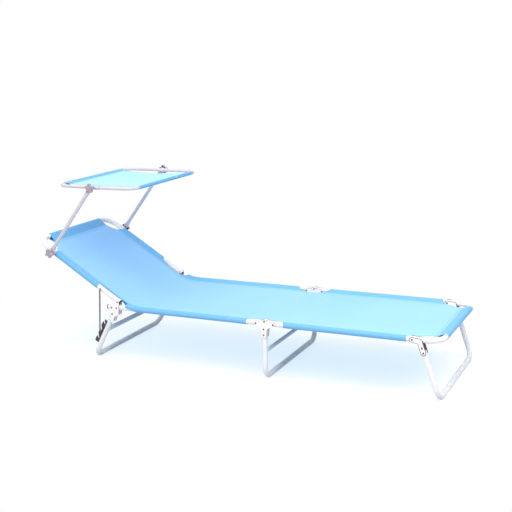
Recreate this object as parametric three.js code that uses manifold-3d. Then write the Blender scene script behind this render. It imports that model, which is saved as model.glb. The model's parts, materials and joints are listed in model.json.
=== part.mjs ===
import * as THREE from 'three';
import { mergeVertices } from 'three/addons/utils/BufferGeometryUtils.js';
import Module from 'manifold-3d';

// A folding sun lounger: three tubular legs, a cloth stretched over two side rails, a backrest held by
// a wire stay in toothed racks, and a hood on two arms. Millimetres, +Z up, the head towards -X.
// Right is -Y and left is +Y, as a person lying on it has them.

const wasm = await Module();
wasm.setup();

const radians = THREE.MathUtils.degToRad;

// Main tube, its polygon and its bends.
const tubeRadius = 11;
const tubeWall = 1.2;
const tubeSides = 12;
const boreSides = 8;
const bendSteps = 4;
const railSpacing = 566;
const gap = 0.3;
const overrun = 5;
const weldDistance = 0.0005;

// Rails and hinges, seen from the side.
const railHeight = 239.2;
const seatLength = 651;
const hingePitch = 75;
const footLength = 681;
const footCornerRadius = 60;
const railOverhang = 50;
const backRise = 26.8;
const legSetback = 28;
const legDrop = 29.2;

// Backrest.
const backLength = 468;
const backAngle = radians(31.6);
const backCornerRadius = 65;
const backEnd = 5.5;
const stayReach = 98;
const clampBelowBend = 28;

// Legs.
const legCornerRadius = 42;
const headLegLean = radians(27.4);
const headCrossDrop = 90;
const midLegShift = -3;
const midLegTop = 5;
const midCrossDrop = 119;
const footPivotInset = 110;
const footLegLean = radians(18.6);
const footLegOffset = 28;
const crossRadius = 8;
const crossSides = 10;
const headLegTop = 9;

// End plugs.
const plugFlange = 4.2;
const plugEdge = 1;
const plugDepth = 16;
const plugPlay = 0.8;
const plugSides = 8;

// Hinge plates and rivets.
const plateThickness = 2;
const rivetRadius = 3;
const rivetHead = { radius: 5, height: 2.2, crownRadius: 3.2, crownHeight: 1.7 };
const rivetSides = 8;
const cornerSteps = 3;
const headPlate = {
  boss: 10, toeDepth: 31, toeSetback: 5, toeRadius: 6, throatInset: 12, throatDepth: 40, throatRadius: 16,
  tailWidth: 3, tailDrop: 36, tailRadius: 6, backMargin: 13, shoulder: 12, shoulderRadius: 10,
  headRivetInset: 29.5, seatRivetInset: 5,
};
const midPlate = {
  tip: 10, topEdge: 11, tipRadius: 8, heelDepth: 3, heelRadius: 6, neckHalf: 15, neckDepth: 21,
  neckRadius: 12, stemHalf: 12, stemDrop: 60, stemRadius: 9, upperRivet: 23, lowerRivet: 48,
  bumpFoot: 13, bumpHalf: 6, bumpTop: 16, bumpRadius: 4, pinHeight: 9.6,
};
const pinRadius = 2.6;
const footPlate = {
  half: 11, elbowDrop: 12, elbowRadius: 12, innerRadius: 5.5, upperRivet: 40, lowerRivet: 60,
};
const footCap = { radius: 14.5, depth: 28, crown: 3, sides: 14 };

// Wire stay and the racks that it hooks into.
const wireRadius = 3.5;
const wireSides = 8;
const wireBend = 9;
const wireTail = 7;
const stayOutset = 15;
const rack = {
  thickness: 7, width: 30.5, seatOffset: 20, middleSeat: 105, pitch: 38, count: 3, top: 50, bottom: 162,
  root: 6, tipRadius: 1.2, lipAngle: radians(41), roofAngle: radians(32), seatSteps: 6, cornerRadius: 3,
};

// Hood: arms, frame, sleeves, clamps and knobs.
const armLength = 371;
const armAngle = radians(52.9);
const armOutset = 25.5;
const arm = {
  radius: 8, wall: 1.2, flatHalf: 3, flatWidth: 10.5, flatLength: 23, taper: 24, slit: 1, sides: 12,
  roundPower: 1, flatPower: 0.45,
};
const hoodRadius = 6.75;
const hoodSides = 10;
const hoodBoreSides = 6;
const hoodRear = 179;
const hoodFront = 193;
const hoodOutset = 10;
const hoodBow = 8;
const hoodBowStart = 70;
const hoodBowRadius = 400;
const hoodCornerRadius = 46;
const hoodJoint = 12;
const bracket = { wall: 1.6, rear: 12, front: 36, padRadius: 7.5, sides: 12 };
const clamp = { wall: 2, width: 20, padRadius: 9, sides: 16 };
const stud = { radius: 4, sides: 10 };
const knob = {
  radius: 21, waist: 13.5, thickness: 14, lobes: 5, stepsPerLobe: 5, lobePowerShare: 0.8,
  bevel: 1.6, pocketRadius: 11, bossRadius: 7, pocketDepth: 8.5, boreDepth: 11.2, sides: 12,
};

// Cloth.
const cloth = 1.2;
const sleeveSides = 12;
const clothWidthInset = 40;
const clothSag = 8;
const seatSleeveStart = 38;
const seatLip = 31;
const backSleeveStart = 116;
const sleeveBelowClamp = 4;
const backTopInset = 80;
const backLip = 20;
const midCutHalf = 82;
const midLip = 2.5;
const footSleeveEnd = 128;
const footTopInset = 70;
const hoodCloth = 1;
const hoodClothMargin = 55;
const hoodClothInset = 33;
const hoodCutMargin = 14;
const hoodSag = 7;
const sagSteps = 10;
const lengthSteps = 6;
const cutSteps = 24;
const endSteps = 2;

// Places worked out from the sizes above, in the seat frame whose X is 0 midway between the middle pivots.
const railSide = railSpacing / 2;
const seatPivotX = -hingePitch / 2;
const footPivotX = hingePitch / 2;
const backPivotX = seatPivotX - seatLength;
const legPivotX = backPivotX - legSetback;
const footBarX = footPivotX + footLength;
const footLegPivotX = footBarX - footPivotInset;
const floorBarRise = tubeRadius * Math.cos(Math.PI / tubeSides);
const headLegLength = (railHeight - legDrop - floorBarRise) / Math.cos(headLegLean);
const footLegRise = railHeight + footLegOffset * Math.sin(footLegLean);
const footLegLength = (footLegRise - floorBarRise) / Math.cos(footLegLean);
const midLegLength = railHeight - floorBarRise;
const plateFace = tubeRadius + gap;
const stayPlane = railSide + stayOutset;
const armPlane = railSide + armOutset;
const hoodSide = railSide + hoodOutset;
const backTopHalf = railSide - backTopInset;
const footTopHalf = railSide - footTopInset;
const hoodClothHalf = hoodSide - hoodClothMargin;
const clampReach = backLength - backCornerRadius - clampBelowBend;
const backSleeveEnd = clampReach - clamp.width / 2 - sleeveBelowClamp;

// Colour, roughness and metalness of each finish.
const colours = {
  steel: [0xf4f5f8, 0.35, 0.3], plate: [0xf6eef2, 0.4, 0.3], bar: [0x9fb4c6, 0.4, 0.4],
  wire: [0x50535a, 0.5, 0.5], rackGrey: [0x77787c, 0.6, 0], black: [0x1c1c20, 0.55, 0],
  knobGrey: [0xa79da8, 0.55, 0], brown: [0x5b4a48, 0.6, 0], cloth: [0x96d0ff, 0.85, 0],
  seatCloth: [0xaae4ff, 0.85, 0], hoodCloth: [0xbff6fa, 0.85, 0],
};

// A closed three.js geometry as a solid, with its faces turned outwards.
function solid(geometry) {
  const bare = geometry.clone();
  bare.deleteAttribute('normal');
  bare.deleteAttribute('uv');
  const merged = mergeVertices(bare, weldDistance);
  const points = new Float32Array(merged.attributes.position.array);
  const faces = new Uint32Array(merged.index.array);
  const a = new THREE.Vector3();
  const b = new THREE.Vector3();
  const c = new THREE.Vector3();
  let volume = 0;
  for (let i = 0; i < faces.length; i += 3) {
    a.fromArray(points, 3 * faces[i]);
    b.fromArray(points, 3 * faces[i + 1]);
    c.fromArray(points, 3 * faces[i + 2]);
    volume += a.dot(b.cross(c));
  }
  if (volume < 0) faces.reverse();
  return new wasm.Manifold(new wasm.Mesh({ numProp: 3, vertProperties: points, triVerts: faces }));
}

// A solid as a geometry; side -1 mirrors it from the left of the lounger to the right.
function shell(body, side = 1) {
  const mesh = body.getMesh();
  const points = new Float32Array(mesh.vertProperties);
  const faces = new Uint32Array(mesh.triVerts);
  if (side < 0) {
    for (let i = 1; i < points.length; i += 3) points[i] = -points[i];
    faces.reverse();
  }
  const geometry = new THREE.BufferGeometry();
  geometry.setAttribute('position', new THREE.BufferAttribute(points, 3));
  geometry.setIndex(new THREE.BufferAttribute(faces, 1));
  geometry.computeVertexNormals();
  return geometry;
}

function piece(name, geometry, colour) {
  const [color, roughness, metalness] = colour;
  const mesh = new THREE.Mesh(geometry, new THREE.MeshStandardMaterial({ color, roughness, metalness }));
  mesh.name = name;
  return mesh;
}

// A centre line of straights and round bends, with one ring at each end of a straight.
class BentPath extends THREE.Curve {
  constructor(corners, radii, steps = bendSteps) {
    super();
    this.stations = [];
    const last = corners.length - 1;
    const start = new THREE.Vector3().subVectors(corners[1], corners[0]).normalize();
    this.stations.push({ point: corners[0].clone(), tangent: start });
    for (let i = 1; i < last; i += 1) {
      const into = new THREE.Vector3().subVectors(corners[i], corners[i - 1]).normalize();
      const out = new THREE.Vector3().subVectors(corners[i + 1], corners[i]).normalize();
      const turn = into.angleTo(out);
      const axis = new THREE.Vector3().crossVectors(into, out).normalize();
      const inward = new THREE.Vector3().crossVectors(axis, into);
      const setback = radii[i - 1] * Math.tan(turn / 2);
      const begin = corners[i].clone().addScaledVector(into, -setback);
      const centre = begin.clone().addScaledVector(inward, radii[i - 1]);
      for (let k = 0; k <= steps; k += 1) {
        const angle = (turn * k) / steps;
        const arm = begin.clone().sub(centre).applyAxisAngle(axis, angle);
        const tangent = into.clone().applyAxisAngle(axis, angle);
        this.stations.push({ point: centre.clone().add(arm), tangent });
      }
    }
    const end = new THREE.Vector3().subVectors(corners[last], corners[last - 1]).normalize();
    this.stations.push({ point: corners[last].clone(), tangent: end });
    this.steps = this.stations.length - 1;
  }

  getUtoTmapping(u) {
    return u;
  }

  getPoint(t, target = new THREE.Vector3()) {
    const place = t * this.steps;
    const index = Math.min(Math.floor(place), this.steps - 1);
    const next = this.stations[index + 1].point;
    return target.lerpVectors(this.stations[index].point, next, place - index);
  }

  getTangent(t, target = new THREE.Vector3()) {
    return target.copy(this.stations[Math.round(t * this.steps)].tangent);
  }
}

// A regular polygon with its flats facing the section axes before it is turned.
function polygonPath(radius, sides, turn, Kind) {
  const points = [];
  for (let k = 0; k < sides; k += 1) {
    const angle = ((k + 0.5) * 2 * Math.PI) / sides + turn;
    points.push(new THREE.Vector2(radius * Math.cos(angle), radius * Math.sin(angle)));
  }
  return new Kind(points);
}

// The corner radius of a polygon whose flats clear a round of the given radius.
function clearOf(radius, sides) {
  return radius / Math.cos(Math.PI / sides);
}

function tube(path, radius, wall, sides, innerSides, turn = 0) {
  const section = polygonPath(radius, sides, turn, THREE.Shape);
  section.holes.push(polygonPath(radius - wall, innerSides, turn, THREE.Path));
  return solid(new THREE.ExtrudeGeometry(section, { steps: path.steps, extrudePath: path }));
}

function bar(path, radius, sides) {
  const section = polygonPath(radius, sides, 0, THREE.Shape);
  return solid(new THREE.ExtrudeGeometry(section, { steps: path.steps, extrudePath: path }));
}

// A round pin along Y from one side to the other.
function crossPin(radius, sides, x, z, from, to) {
  const geometry = new THREE.CylinderGeometry(radius, radius, to - from, sides);
  geometry.translate(x, (from + to) / 2, z);
  return solid(geometry);
}

// A round rod along X, or along Z where it stands upright.
function lengthRod(radius, sides, from, to, y, z) {
  const geometry = new THREE.CylinderGeometry(radius, radius, to - from, sides);
  geometry.rotateY(Math.PI / sides);
  geometry.rotateZ(-Math.PI / 2);
  geometry.translate((from + to) / 2, y, z);
  return solid(geometry);
}

function uprightRod(radius, sides, x, y, from, to) {
  const geometry = new THREE.CylinderGeometry(radius, radius, to - from, sides);
  geometry.rotateY(Math.PI / sides);
  geometry.rotateX(Math.PI / 2);
  geometry.translate(x, y, (from + to) / 2);
  return solid(geometry);
}

// An outline in X and Z as a slab across Y.
function slab(shape, from, to) {
  const geometry = new THREE.ExtrudeGeometry(shape, { depth: to - from, bevelEnabled: false });
  geometry.rotateX(Math.PI / 2);
  geometry.translate(0, to, 0);
  return geometry;
}

// An outline whose corners carry their own fillet radius: [x, z, radius].
function filleted(corners) {
  const points = [];
  corners.forEach(([x, z, radius], i) => {
    const here = new THREE.Vector2(x, z);
    const before = new THREE.Vector2(...corners[(i + corners.length - 1) % corners.length]);
    const after = new THREE.Vector2(...corners[(i + 1) % corners.length]);
    const back = before.sub(here).normalize();
    const on = after.sub(here).normalize();
    const half = Math.acos(THREE.MathUtils.clamp(back.dot(on), -1, 1)) / 2;
    const reach = radius / Math.tan(half);
    const centre = here.clone().addScaledVector(back.clone().add(on).normalize(), radius / Math.sin(half));
    const from = here.clone().addScaledVector(back, reach).sub(centre);
    const to = here.clone().addScaledVector(on, reach).sub(centre);
    let turn = to.angle() - from.angle();
    if (turn > Math.PI) turn -= 2 * Math.PI;
    if (turn < -Math.PI) turn += 2 * Math.PI;
    for (let k = 0; k <= cornerSteps; k += 1) {
      const spoke = from.clone().rotateAround(new THREE.Vector2(), (turn * k) / cornerSteps);
      points.push(centre.clone().add(spoke));
    }
  });
  return new THREE.Shape(points);
}

// What is left of a tube end that stops flat on one half and is rounded about its pivot on the other.
function stopOutline(reach, extent) {
  const points = [[-extent, -extent], [extent, -extent], [extent, 0]];
  for (let k = 0; k <= cornerSteps; k += 1) {
    const angle = ((Math.PI / 2) * k) / cornerSteps;
    points.push([reach * Math.cos(angle), reach * Math.sin(angle)]);
  }
  points.push([-extent, reach]);
  return points;
}

function shapeOf(points) {
  return new THREE.Shape(points.map(([x, z]) => new THREE.Vector2(x, z)));
}

// A rivet head on a plate's face, its round side towards +Y or -Y.
function rivetCap(x, z, face, towards) {
  const profile = [
    new THREE.Vector2(0, -plateThickness / 2), new THREE.Vector2(rivetHead.radius, -plateThickness / 2),
    new THREE.Vector2(rivetHead.radius, 0), new THREE.Vector2(rivetHead.crownRadius, rivetHead.crownHeight),
    new THREE.Vector2(0, rivetHead.height),
  ];
  const geometry = new THREE.LatheGeometry(profile, rivetSides);
  geometry.scale(1, towards, 1);
  geometry.translate(x, face, z);
  return solid(geometry);
}

// An outer plate carries the rivets' heads and shanks, which end just short of the inner plate.
function outerPlate(shape, rivets) {
  const from = railSide + plateFace;
  const shankTo = from + plateThickness / 2;
  let body = solid(slab(shape, from, from + plateThickness));
  for (const [x, z] of rivets) {
    body = body.add(rivetCap(x, z, from + plateThickness, 1));
    body = body.add(crossPin(rivetRadius, rivetSides, x, z, railSide - tubeRadius, shankTo));
  }
  return body;
}

function innerPlate(shape, rivets) {
  const face = railSide - plateFace;
  let body = solid(slab(shape, face - plateThickness, face));
  for (const [x, z] of rivets) body = body.add(rivetCap(x, z, face - plateThickness, -1));
  return body;
}

// Holes for rivets through both walls of the left or right tube of a body that spans the lounger.
function drilled(body, rivets, sides = [1, -1]) {
  let result = body;
  for (const side of sides) {
    const near = side * railSide - tubeRadius - overrun;
    const far = side * railSide + tubeRadius + overrun;
    for (const [x, z] of rivets) {
      const radius = clearOf(rivetRadius + gap, rivetSides);
      result = result.subtract(crossPin(radius, rivetSides, x, z, near, far));
    }
  }
  return result;
}

// Both sides of one piece, named and mirrored.
function pair(group, name, body, colour) {
  group.add(piece(`${name}_left`, shell(body), colour));
  group.add(piece(`${name}_right`, shell(body, -1), colour));
}

function plugStubRadius() {
  return tubeRadius - tubeWall - plugPlay;
}

// A plug for a tube along X, its flange facing the given way from the tube's end.
function railPlug(end, towards, rivets) {
  const flangeFrom = end + towards * gap;
  const flangeTo = end + towards * plugFlange;
  const profile = [
    new THREE.Vector2(0, 0), new THREE.Vector2(tubeRadius, 0),
    new THREE.Vector2(tubeRadius, plugFlange - gap - plugEdge),
    new THREE.Vector2(tubeRadius - plugEdge, plugFlange - gap), new THREE.Vector2(0, plugFlange - gap),
  ];
  const flange = new THREE.LatheGeometry(profile, tubeSides);
  flange.rotateZ(-towards * (Math.PI / 2));
  flange.translate(flangeFrom, railSide, 0);
  const stubFrom = Math.min(end - towards * plugDepth, (flangeFrom + flangeTo) / 2);
  const stubTo = Math.max(end - towards * plugDepth, (flangeFrom + flangeTo) / 2);
  const stub = lengthRod(plugStubRadius(), plugSides, stubFrom, stubTo, railSide, 0);
  return drilled(solid(flange).add(stub), rivets, [1]);
}

const seatRivets = [
  [legPivotX + legSetback - headPlate.headRivetInset, 0], [backPivotX - headPlate.seatRivetInset, 0],
];

// A rail end at the middle hinge bears on the leg with its lower half and is rounded above.
function railEndKeep(pivotX, face, towards) {
  const reach = Math.abs(face - pivotX);
  const outline = stopOutline(reach, seatLength + footLength).map(([u, v]) => [pivotX + towards * v, u]);
  return solid(slab(shapeOf(outline), -railSpacing, railSpacing));
}

function seatRail() {
  const from = backPivotX - railOverhang;
  const face = midLegShift - tubeRadius - gap;
  const path = new BentPath([new THREE.Vector3(from, railSide, 0), new THREE.Vector3(face, railSide, 0)], []);
  const body = tube(path, tubeRadius, tubeWall, tubeSides, boreSides);
  const cut = body.intersect(railEndKeep(seatPivotX, face, 1));
  return drilled(cut, [...seatRivets, [seatPivotX, 0]], [1]);
}

function headPlateOutline() {
  const p = headPlate;
  const right = backPivotX + p.boss;
  const left = legPivotX - p.backMargin;
  const tail = -legDrop - p.tailDrop;
  return filleted([
    [right, backRise + p.boss, p.boss], [backPivotX - p.boss, backRise + p.boss, p.boss],
    [left, p.shoulder, p.shoulderRadius], [left, tail, p.tailRadius],
    [legPivotX + p.tailWidth, tail, p.tailRadius],
    [legPivotX + p.throatInset, -p.throatDepth, p.throatRadius],
    [right - p.toeSetback, -p.toeDepth, p.toeRadius],
  ]);
}

function buildSeatFrame(group) {
  pair(group, 'seat_rail', seatRail(), colours.steel);
  pair(group, 'seat_rail_plug', railPlug(backPivotX - railOverhang, -1, []), colours.black);
  const rivets = [...seatRivets, [backPivotX, backRise], [legPivotX, -legDrop]];
  pair(group, 'head_plate_outer', outerPlate(headPlateOutline(), rivets), colours.plate);
  pair(group, 'head_plate_inner', innerPlate(headPlateOutline(), rivets), colours.plate);
  group.add(piece('seat_sling', shell(seatSling()), colours.seatCloth));
}

// A sheet over a grid of X and Y, its upper face given by a height function.
function sheet(xs, ys, height, thickness) {
  const points = [];
  for (const drop of [0, thickness]) {
    for (const x of xs) for (const y of ys) points.push(x, y, height(x, y) - drop);
  }
  const m = ys.length;
  const under = xs.length * m;
  const faces = [];
  const quad = (a, b, c, d) => faces.push(a, b, c, a, c, d);
  for (let i = 0; i + 1 < xs.length; i += 1) {
    for (let j = 0; j + 1 < m; j += 1) {
      const a = i * m + j;
      quad(a, a + m, a + m + 1, a + 1);
      quad(under + a, under + a + 1, under + a + m + 1, under + a + m);
    }
  }
  for (let i = 0; i + 1 < xs.length; i += 1) {
    const a = i * m;
    const b = a + m - 1;
    quad(a, under + a, under + a + m, a + m);
    quad(b, b + m, under + b + m, under + b);
  }
  const end = (xs.length - 1) * m;
  for (let j = 0; j + 1 < m; j += 1) {
    quad(j, j + 1, under + j + 1, under + j);
    quad(end + j, under + end + j, under + end + j + 1, end + j + 1);
  }
  const geometry = new THREE.BufferGeometry();
  geometry.setAttribute('position', new THREE.Float32BufferAttribute(points, 3));
  geometry.setIndex(faces);
  return solid(geometry);
}

function spread(from, to, count) {
  const values = [];
  for (let k = 0; k <= count; k += 1) values.push(from + ((to - from) * k) / count);
  return values;
}

// An ellipse in plan that cuts the cloth back from a corner or a hinge.
function planCut(x, y, along, across) {
  const points = [];
  for (let k = 0; k < cutSteps; k += 1) {
    const angle = (2 * Math.PI * k) / cutSteps;
    points.push(new THREE.Vector2(x + along * Math.cos(angle), y + across * Math.sin(angle)));
  }
  const depth = 2 * backLength;
  const geometry = new THREE.ExtrudeGeometry(new THREE.Shape(points), { depth, bevelEnabled: false });
  geometry.translate(0, 0, -depth / 2);
  return solid(geometry);
}

// Cloth sleeves round the two side tubes, and the room in them for the tubes.
function sideSleeves(body, from, to) {
  let result = body;
  const radius = clearOf(tubeRadius + gap + cloth, sleeveSides);
  for (const side of [1, -1]) {
    result = result.add(lengthRod(radius, sleeveSides, from, to, side * railSide, 0));
  }
  return result;
}

function sideBores(body, from, to) {
  let result = body;
  const radius = clearOf(tubeRadius + gap, sleeveSides);
  for (const side of [1, -1]) {
    const rod = lengthRod(radius, sleeveSides, from - overrun, to + overrun, side * railSide, 0);
    result = result.subtract(rod);
  }
  return result;
}

const clothTop = tubeRadius + gap + cloth;
const cutAcross = clothTop + clothWidthInset;
const clothEdge = railSide + clothTop;

function sagAt(y, depth) {
  const share = 1 - (y / railSide) ** 2;
  return depth * share;
}

function seatSling() {
  const from = backPivotX + seatLip;
  const sleeveFrom = backPivotX + seatSleeveStart;
  const xs = spread(from, -midLip, lengthSteps);
  const ys = spread(-railSide, railSide, sagSteps);
  let body = sheet(xs, ys, (x, y) => clothTop - sagAt(y, clothSag), cloth);
  body = sideSleeves(body, sleeveFrom, -midCutHalf);
  body = sideBores(body, from, 0);
  for (const side of [1, -1]) {
    body = body.subtract(planCut(backPivotX, side * clothEdge, seatSleeveStart, cutAcross));
    body = body.subtract(planCut(0, side * clothEdge, midCutHalf, cutAcross));
  }
  return body;
}

// A round across the lounger at the given X, and a cloth sleeve of that kind with its tube's room left out.
function crossRound(radius, sides, x, half) {
  const geometry = new THREE.CylinderGeometry(radius, radius, 2 * half, sides);
  geometry.rotateY(Math.PI / sides);
  geometry.translate(x, 0, 0);
  return solid(geometry);
}

function withCrossSleeve(body, x, half, inner, thickness) {
  const outer = crossRound(clearOf(inner + thickness, sleeveSides), sleeveSides, x, half);
  const bore = crossRound(clearOf(inner, sleeveSides), sleeveSides, x, railSide);
  return body.add(outer).subtract(bore);
}

function footSling() {
  const sleeveTo = footBarX - footSleeveEnd;
  const end = spread(sleeveTo, footBarX, endSteps);
  const xs = [...spread(midLip, sleeveTo, lengthSteps), ...end.slice(1)];
  const ys = spread(-railSide, railSide, sagSteps);
  const height = (x, y) => {
    const share = Math.min(1, (footBarX - x) / footSleeveEnd);
    return clothTop - sagAt(y, clothSag * share);
  };
  let body = sheet(xs, ys, height, cloth);
  body = sideSleeves(body, midCutHalf, sleeveTo);
  body = withCrossSleeve(body, footBarX, footTopHalf, tubeRadius + gap, cloth);
  body = sideBores(body, 0, footBarX);
  for (const side of [1, -1]) {
    body = body.subtract(planCut(0, side * clothEdge, midCutHalf, cutAcross));
    const along = footSleeveEnd + clothTop;
    body = body.subtract(planCut(footBarX + clothTop, side * clothEdge, along, clothEdge - footTopHalf));
  }
  return body;
}

function backSling() {
  const end = spread(-backLength, -backSleeveEnd, endSteps);
  const xs = [...end, ...spread(-backSleeveEnd, backLip, lengthSteps).slice(1)];
  const ys = spread(-railSide, railSide, sagSteps);
  const height = (x, y) => {
    const share = Math.min(1, (x + backLength) / (backLength - backSleeveEnd));
    return clothTop - sagAt(y, clothSag * share);
  };
  let body = sheet(xs, ys, height, cloth);
  body = sideSleeves(body, -backSleeveEnd, -backSleeveStart);
  body = withCrossSleeve(body, -backLength, backTopHalf, tubeRadius + gap, cloth);
  body = sideBores(body, -backLength, 0);
  for (const side of [1, -1]) {
    body = body.subtract(planCut(backLip, side * clothEdge, backLip + backSleeveStart, cutAcross));
    const along = backLength + clothTop - backSleeveEnd;
    const across = clothEdge - backTopHalf;
    body = body.subtract(planCut(-backLength - clothTop, side * clothEdge, along, across));
  }
  return body;
}

// The backrest lies along -X from its pivot.
function backrestTube() {
  const corners = [
    new THREE.Vector3(backEnd, -railSide, 0), new THREE.Vector3(-backLength, -railSide, 0),
    new THREE.Vector3(-backLength, railSide, 0), new THREE.Vector3(backEnd, railSide, 0),
  ];
  const path = new BentPath(corners, [backCornerRadius, backCornerRadius]);
  let body = tube(path, tubeRadius, tubeWall, tubeSides, boreSides);
  body = drilled(body, [[0, 0]]);
  const hole = clearOf(wireRadius + gap, wireSides);
  const from = railSide;
  const to = railSide + tubeRadius + overrun;
  body = body.subtract(crossPin(hole, wireSides, -stayReach, 0, from, to));
  return body.subtract(crossPin(hole, wireSides, -stayReach, 0, -to, -from));
}

function canopyClamp() {
  const half = clamp.width / 2;
  const outer = clearOf(tubeRadius + gap + clamp.wall, clamp.sides);
  const band = lengthRod(outer, clamp.sides, -half - clampReach, half - clampReach, railSide, 0);
  const padTo = armPlane - arm.flatHalf - gap;
  let body = band.add(crossPin(clamp.padRadius, clamp.sides, -clampReach, 0, railSide, padTo));
  const studTo = armPlane + arm.flatHalf + knob.boreDepth;
  body = body.add(crossPin(stud.radius, stud.sides, -clampReach, 0, railSide, studTo));
  const bore = clearOf(tubeRadius + gap, clamp.sides);
  const boreFrom = -half - clampReach - overrun;
  return body.subtract(lengthRod(bore, clamp.sides, boreFrom, half - clampReach + overrun, railSide, 0));
}

// The star knob, its back at the given Y and its lobes in the XZ plane.
function starKnob() {
  const points = [];
  const count = knob.lobes * knob.stepsPerLobe;
  for (let k = 0; k < count; k += 1) {
    const angle = (2 * Math.PI * k) / count;
    const share = ((1 + Math.cos(knob.lobes * angle)) / 2) ** knob.lobePowerShare;
    const radius = knob.waist + (knob.radius - knob.waist) * share - knob.bevel;
    points.push(new THREE.Vector2(radius * Math.sin(angle), radius * Math.cos(angle)));
  }
  const geometry = new THREE.ExtrudeGeometry(new THREE.Shape(points), {
    depth: knob.thickness - 2 * knob.bevel, bevelEnabled: true, bevelSize: knob.bevel,
    bevelThickness: knob.bevel, bevelSegments: 1,
  });
  geometry.rotateX(-Math.PI / 2);
  const from = armPlane + arm.flatHalf + gap;
  geometry.translate(0, from + knob.bevel, 0);
  const ring = [
    new THREE.Vector2(knob.bossRadius, -overrun), new THREE.Vector2(knob.pocketRadius, -overrun),
    new THREE.Vector2(knob.pocketRadius, knob.pocketDepth),
    new THREE.Vector2(knob.bossRadius, knob.pocketDepth), new THREE.Vector2(knob.bossRadius, -overrun),
  ];
  const pocket = new THREE.LatheGeometry(ring, knob.sides);
  pocket.translate(0, from, 0);
  const bore = clearOf(stud.radius + gap, stud.sides);
  const hole = crossPin(bore, stud.sides, 0, 0, from - overrun, from + knob.boreDepth);
  return solid(geometry).subtract(solid(pocket)).subtract(hole);
}

function knobOn(group, name, side) {
  const spinning = new THREE.Group();
  group.add(spinning);
  spinning.add(piece(name, shell(starKnob(), side), colours.knobGrey));
}

// A loft through rings of equal counts along X, closed with a fan at each end.
function loft(rings) {
  const count = rings[0].points.length;
  const vertices = [];
  const faces = [];
  for (const ring of rings) for (const [y, z] of ring.points) vertices.push(ring.x, y, z);
  for (let i = 0; i + 1 < rings.length; i += 1) {
    for (let k = 0; k < count; k += 1) {
      const a = i * count + k;
      const b = i * count + ((k + 1) % count);
      faces.push(a, b, b + count, a, b + count, a + count);
    }
  }
  const last = (rings.length - 1) * count;
  for (let k = 1; k + 1 < count; k += 1) {
    faces.push(0, k + 1, k, last, last + k, last + k + 1);
  }
  const geometry = new THREE.BufferGeometry();
  geometry.setAttribute('position', new THREE.Float32BufferAttribute(vertices, 3));
  geometry.setIndex(faces);
  return solid(geometry);
}

// One ring of an arm: a round that turns into a flat with rounded edges.
function armRing(x, halfThick, halfWide, power) {
  const points = [];
  for (let k = 0; k < arm.sides; k += 1) {
    const angle = ((k + 0.5) * 2 * Math.PI) / arm.sides;
    const c = Math.cos(angle);
    const s = Math.sin(angle);
    const y = halfThick * Math.sign(c) * Math.abs(c) ** power;
    points.push([armPlane + y, halfWide * Math.sign(s) * Math.abs(s) ** power]);
  }
  return { x, points };
}

// The arm lies along +X from its lower pivot; the bore runs out as a slit in each flat end.
function canopyArm() {
  const a = arm;
  const flat = (x) => armRing(x, a.flatHalf, a.flatWidth, a.flatPower);
  const round = (x) => armRing(x, a.radius, a.radius, a.roundPower);
  const from = a.flatLength;
  const to = armLength - a.flatLength;
  const outer = loft([
    flat(-a.flatWidth), flat(from), round(from + a.taper), round(to - a.taper), flat(to),
    flat(armLength + a.flatWidth),
  ]);
  const bored = (x) => armRing(x, a.radius - a.wall, a.radius - a.wall, a.roundPower);
  const slit = (x) => armRing(x, a.slit, a.flatWidth - 2 * a.wall, a.flatPower);
  const inner = loft([
    slit(0), slit(from), bored(from + a.taper), bored(to - a.taper), slit(to), slit(armLength),
  ]);
  const plan = filleted([
    [-a.flatWidth, -a.flatWidth, a.flatWidth - weldDistance],
    [armLength + a.flatWidth, -a.flatWidth, a.flatWidth - weldDistance],
    [armLength + a.flatWidth, a.flatWidth, a.flatWidth - weldDistance],
    [-a.flatWidth, a.flatWidth, a.flatWidth - weldDistance],
  ]);
  const hole = clearOf(stud.radius + gap, stud.sides);
  const near = armPlane - a.radius - overrun;
  const far = armPlane + a.radius + overrun;
  let body = outer.intersect(solid(slab(plan, near, far))).subtract(inner);
  for (const x of [0, armLength]) body = body.subtract(crossPin(hole, stud.sides, x, 0, near, far));
  return body;
}

// One U tube of the hood frame, from the side joints to its bar, with the sides bowed outwards.
function hoodTube(towards, reach, joint) {
  const side = hoodSide;
  const inner = side - hoodBow;
  const bar = towards * reach;
  const bend = towards * hoodBowStart;
  const corners = [
    new THREE.Vector3(joint, -side, 0), new THREE.Vector3(bend, -side, 0), new THREE.Vector3(bar, -inner, 0),
    new THREE.Vector3(bar, inner, 0), new THREE.Vector3(bend, side, 0), new THREE.Vector3(joint, side, 0),
  ];
  const radii = [hoodBowRadius, hoodCornerRadius, hoodCornerRadius, hoodBowRadius];
  return tube(new BentPath(corners, radii, bendSteps - 1), hoodRadius, tubeWall, hoodSides, hoodBoreSides);
}

function canopyBracket() {
  const side = hoodSide;
  const outer = clearOf(hoodRadius + gap + bracket.wall, bracket.sides);
  const bore = clearOf(hoodRadius + gap, bracket.sides);
  const padTo = armPlane - arm.flatHalf - gap;
  const studTo = armPlane + arm.flatHalf + knob.boreDepth;
  let body = lengthRod(outer, bracket.sides, -bracket.rear, bracket.front, side, 0);
  body = body.add(crossPin(bracket.padRadius, bracket.sides, 0, 0, side, padTo));
  body = body.add(crossPin(stud.radius, stud.sides, 0, 0, side, studTo));
  const boreFrom = -bracket.rear - overrun;
  return body.subtract(lengthRod(bore, bracket.sides, boreFrom, bracket.front + overrun, side, 0));
}

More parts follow.
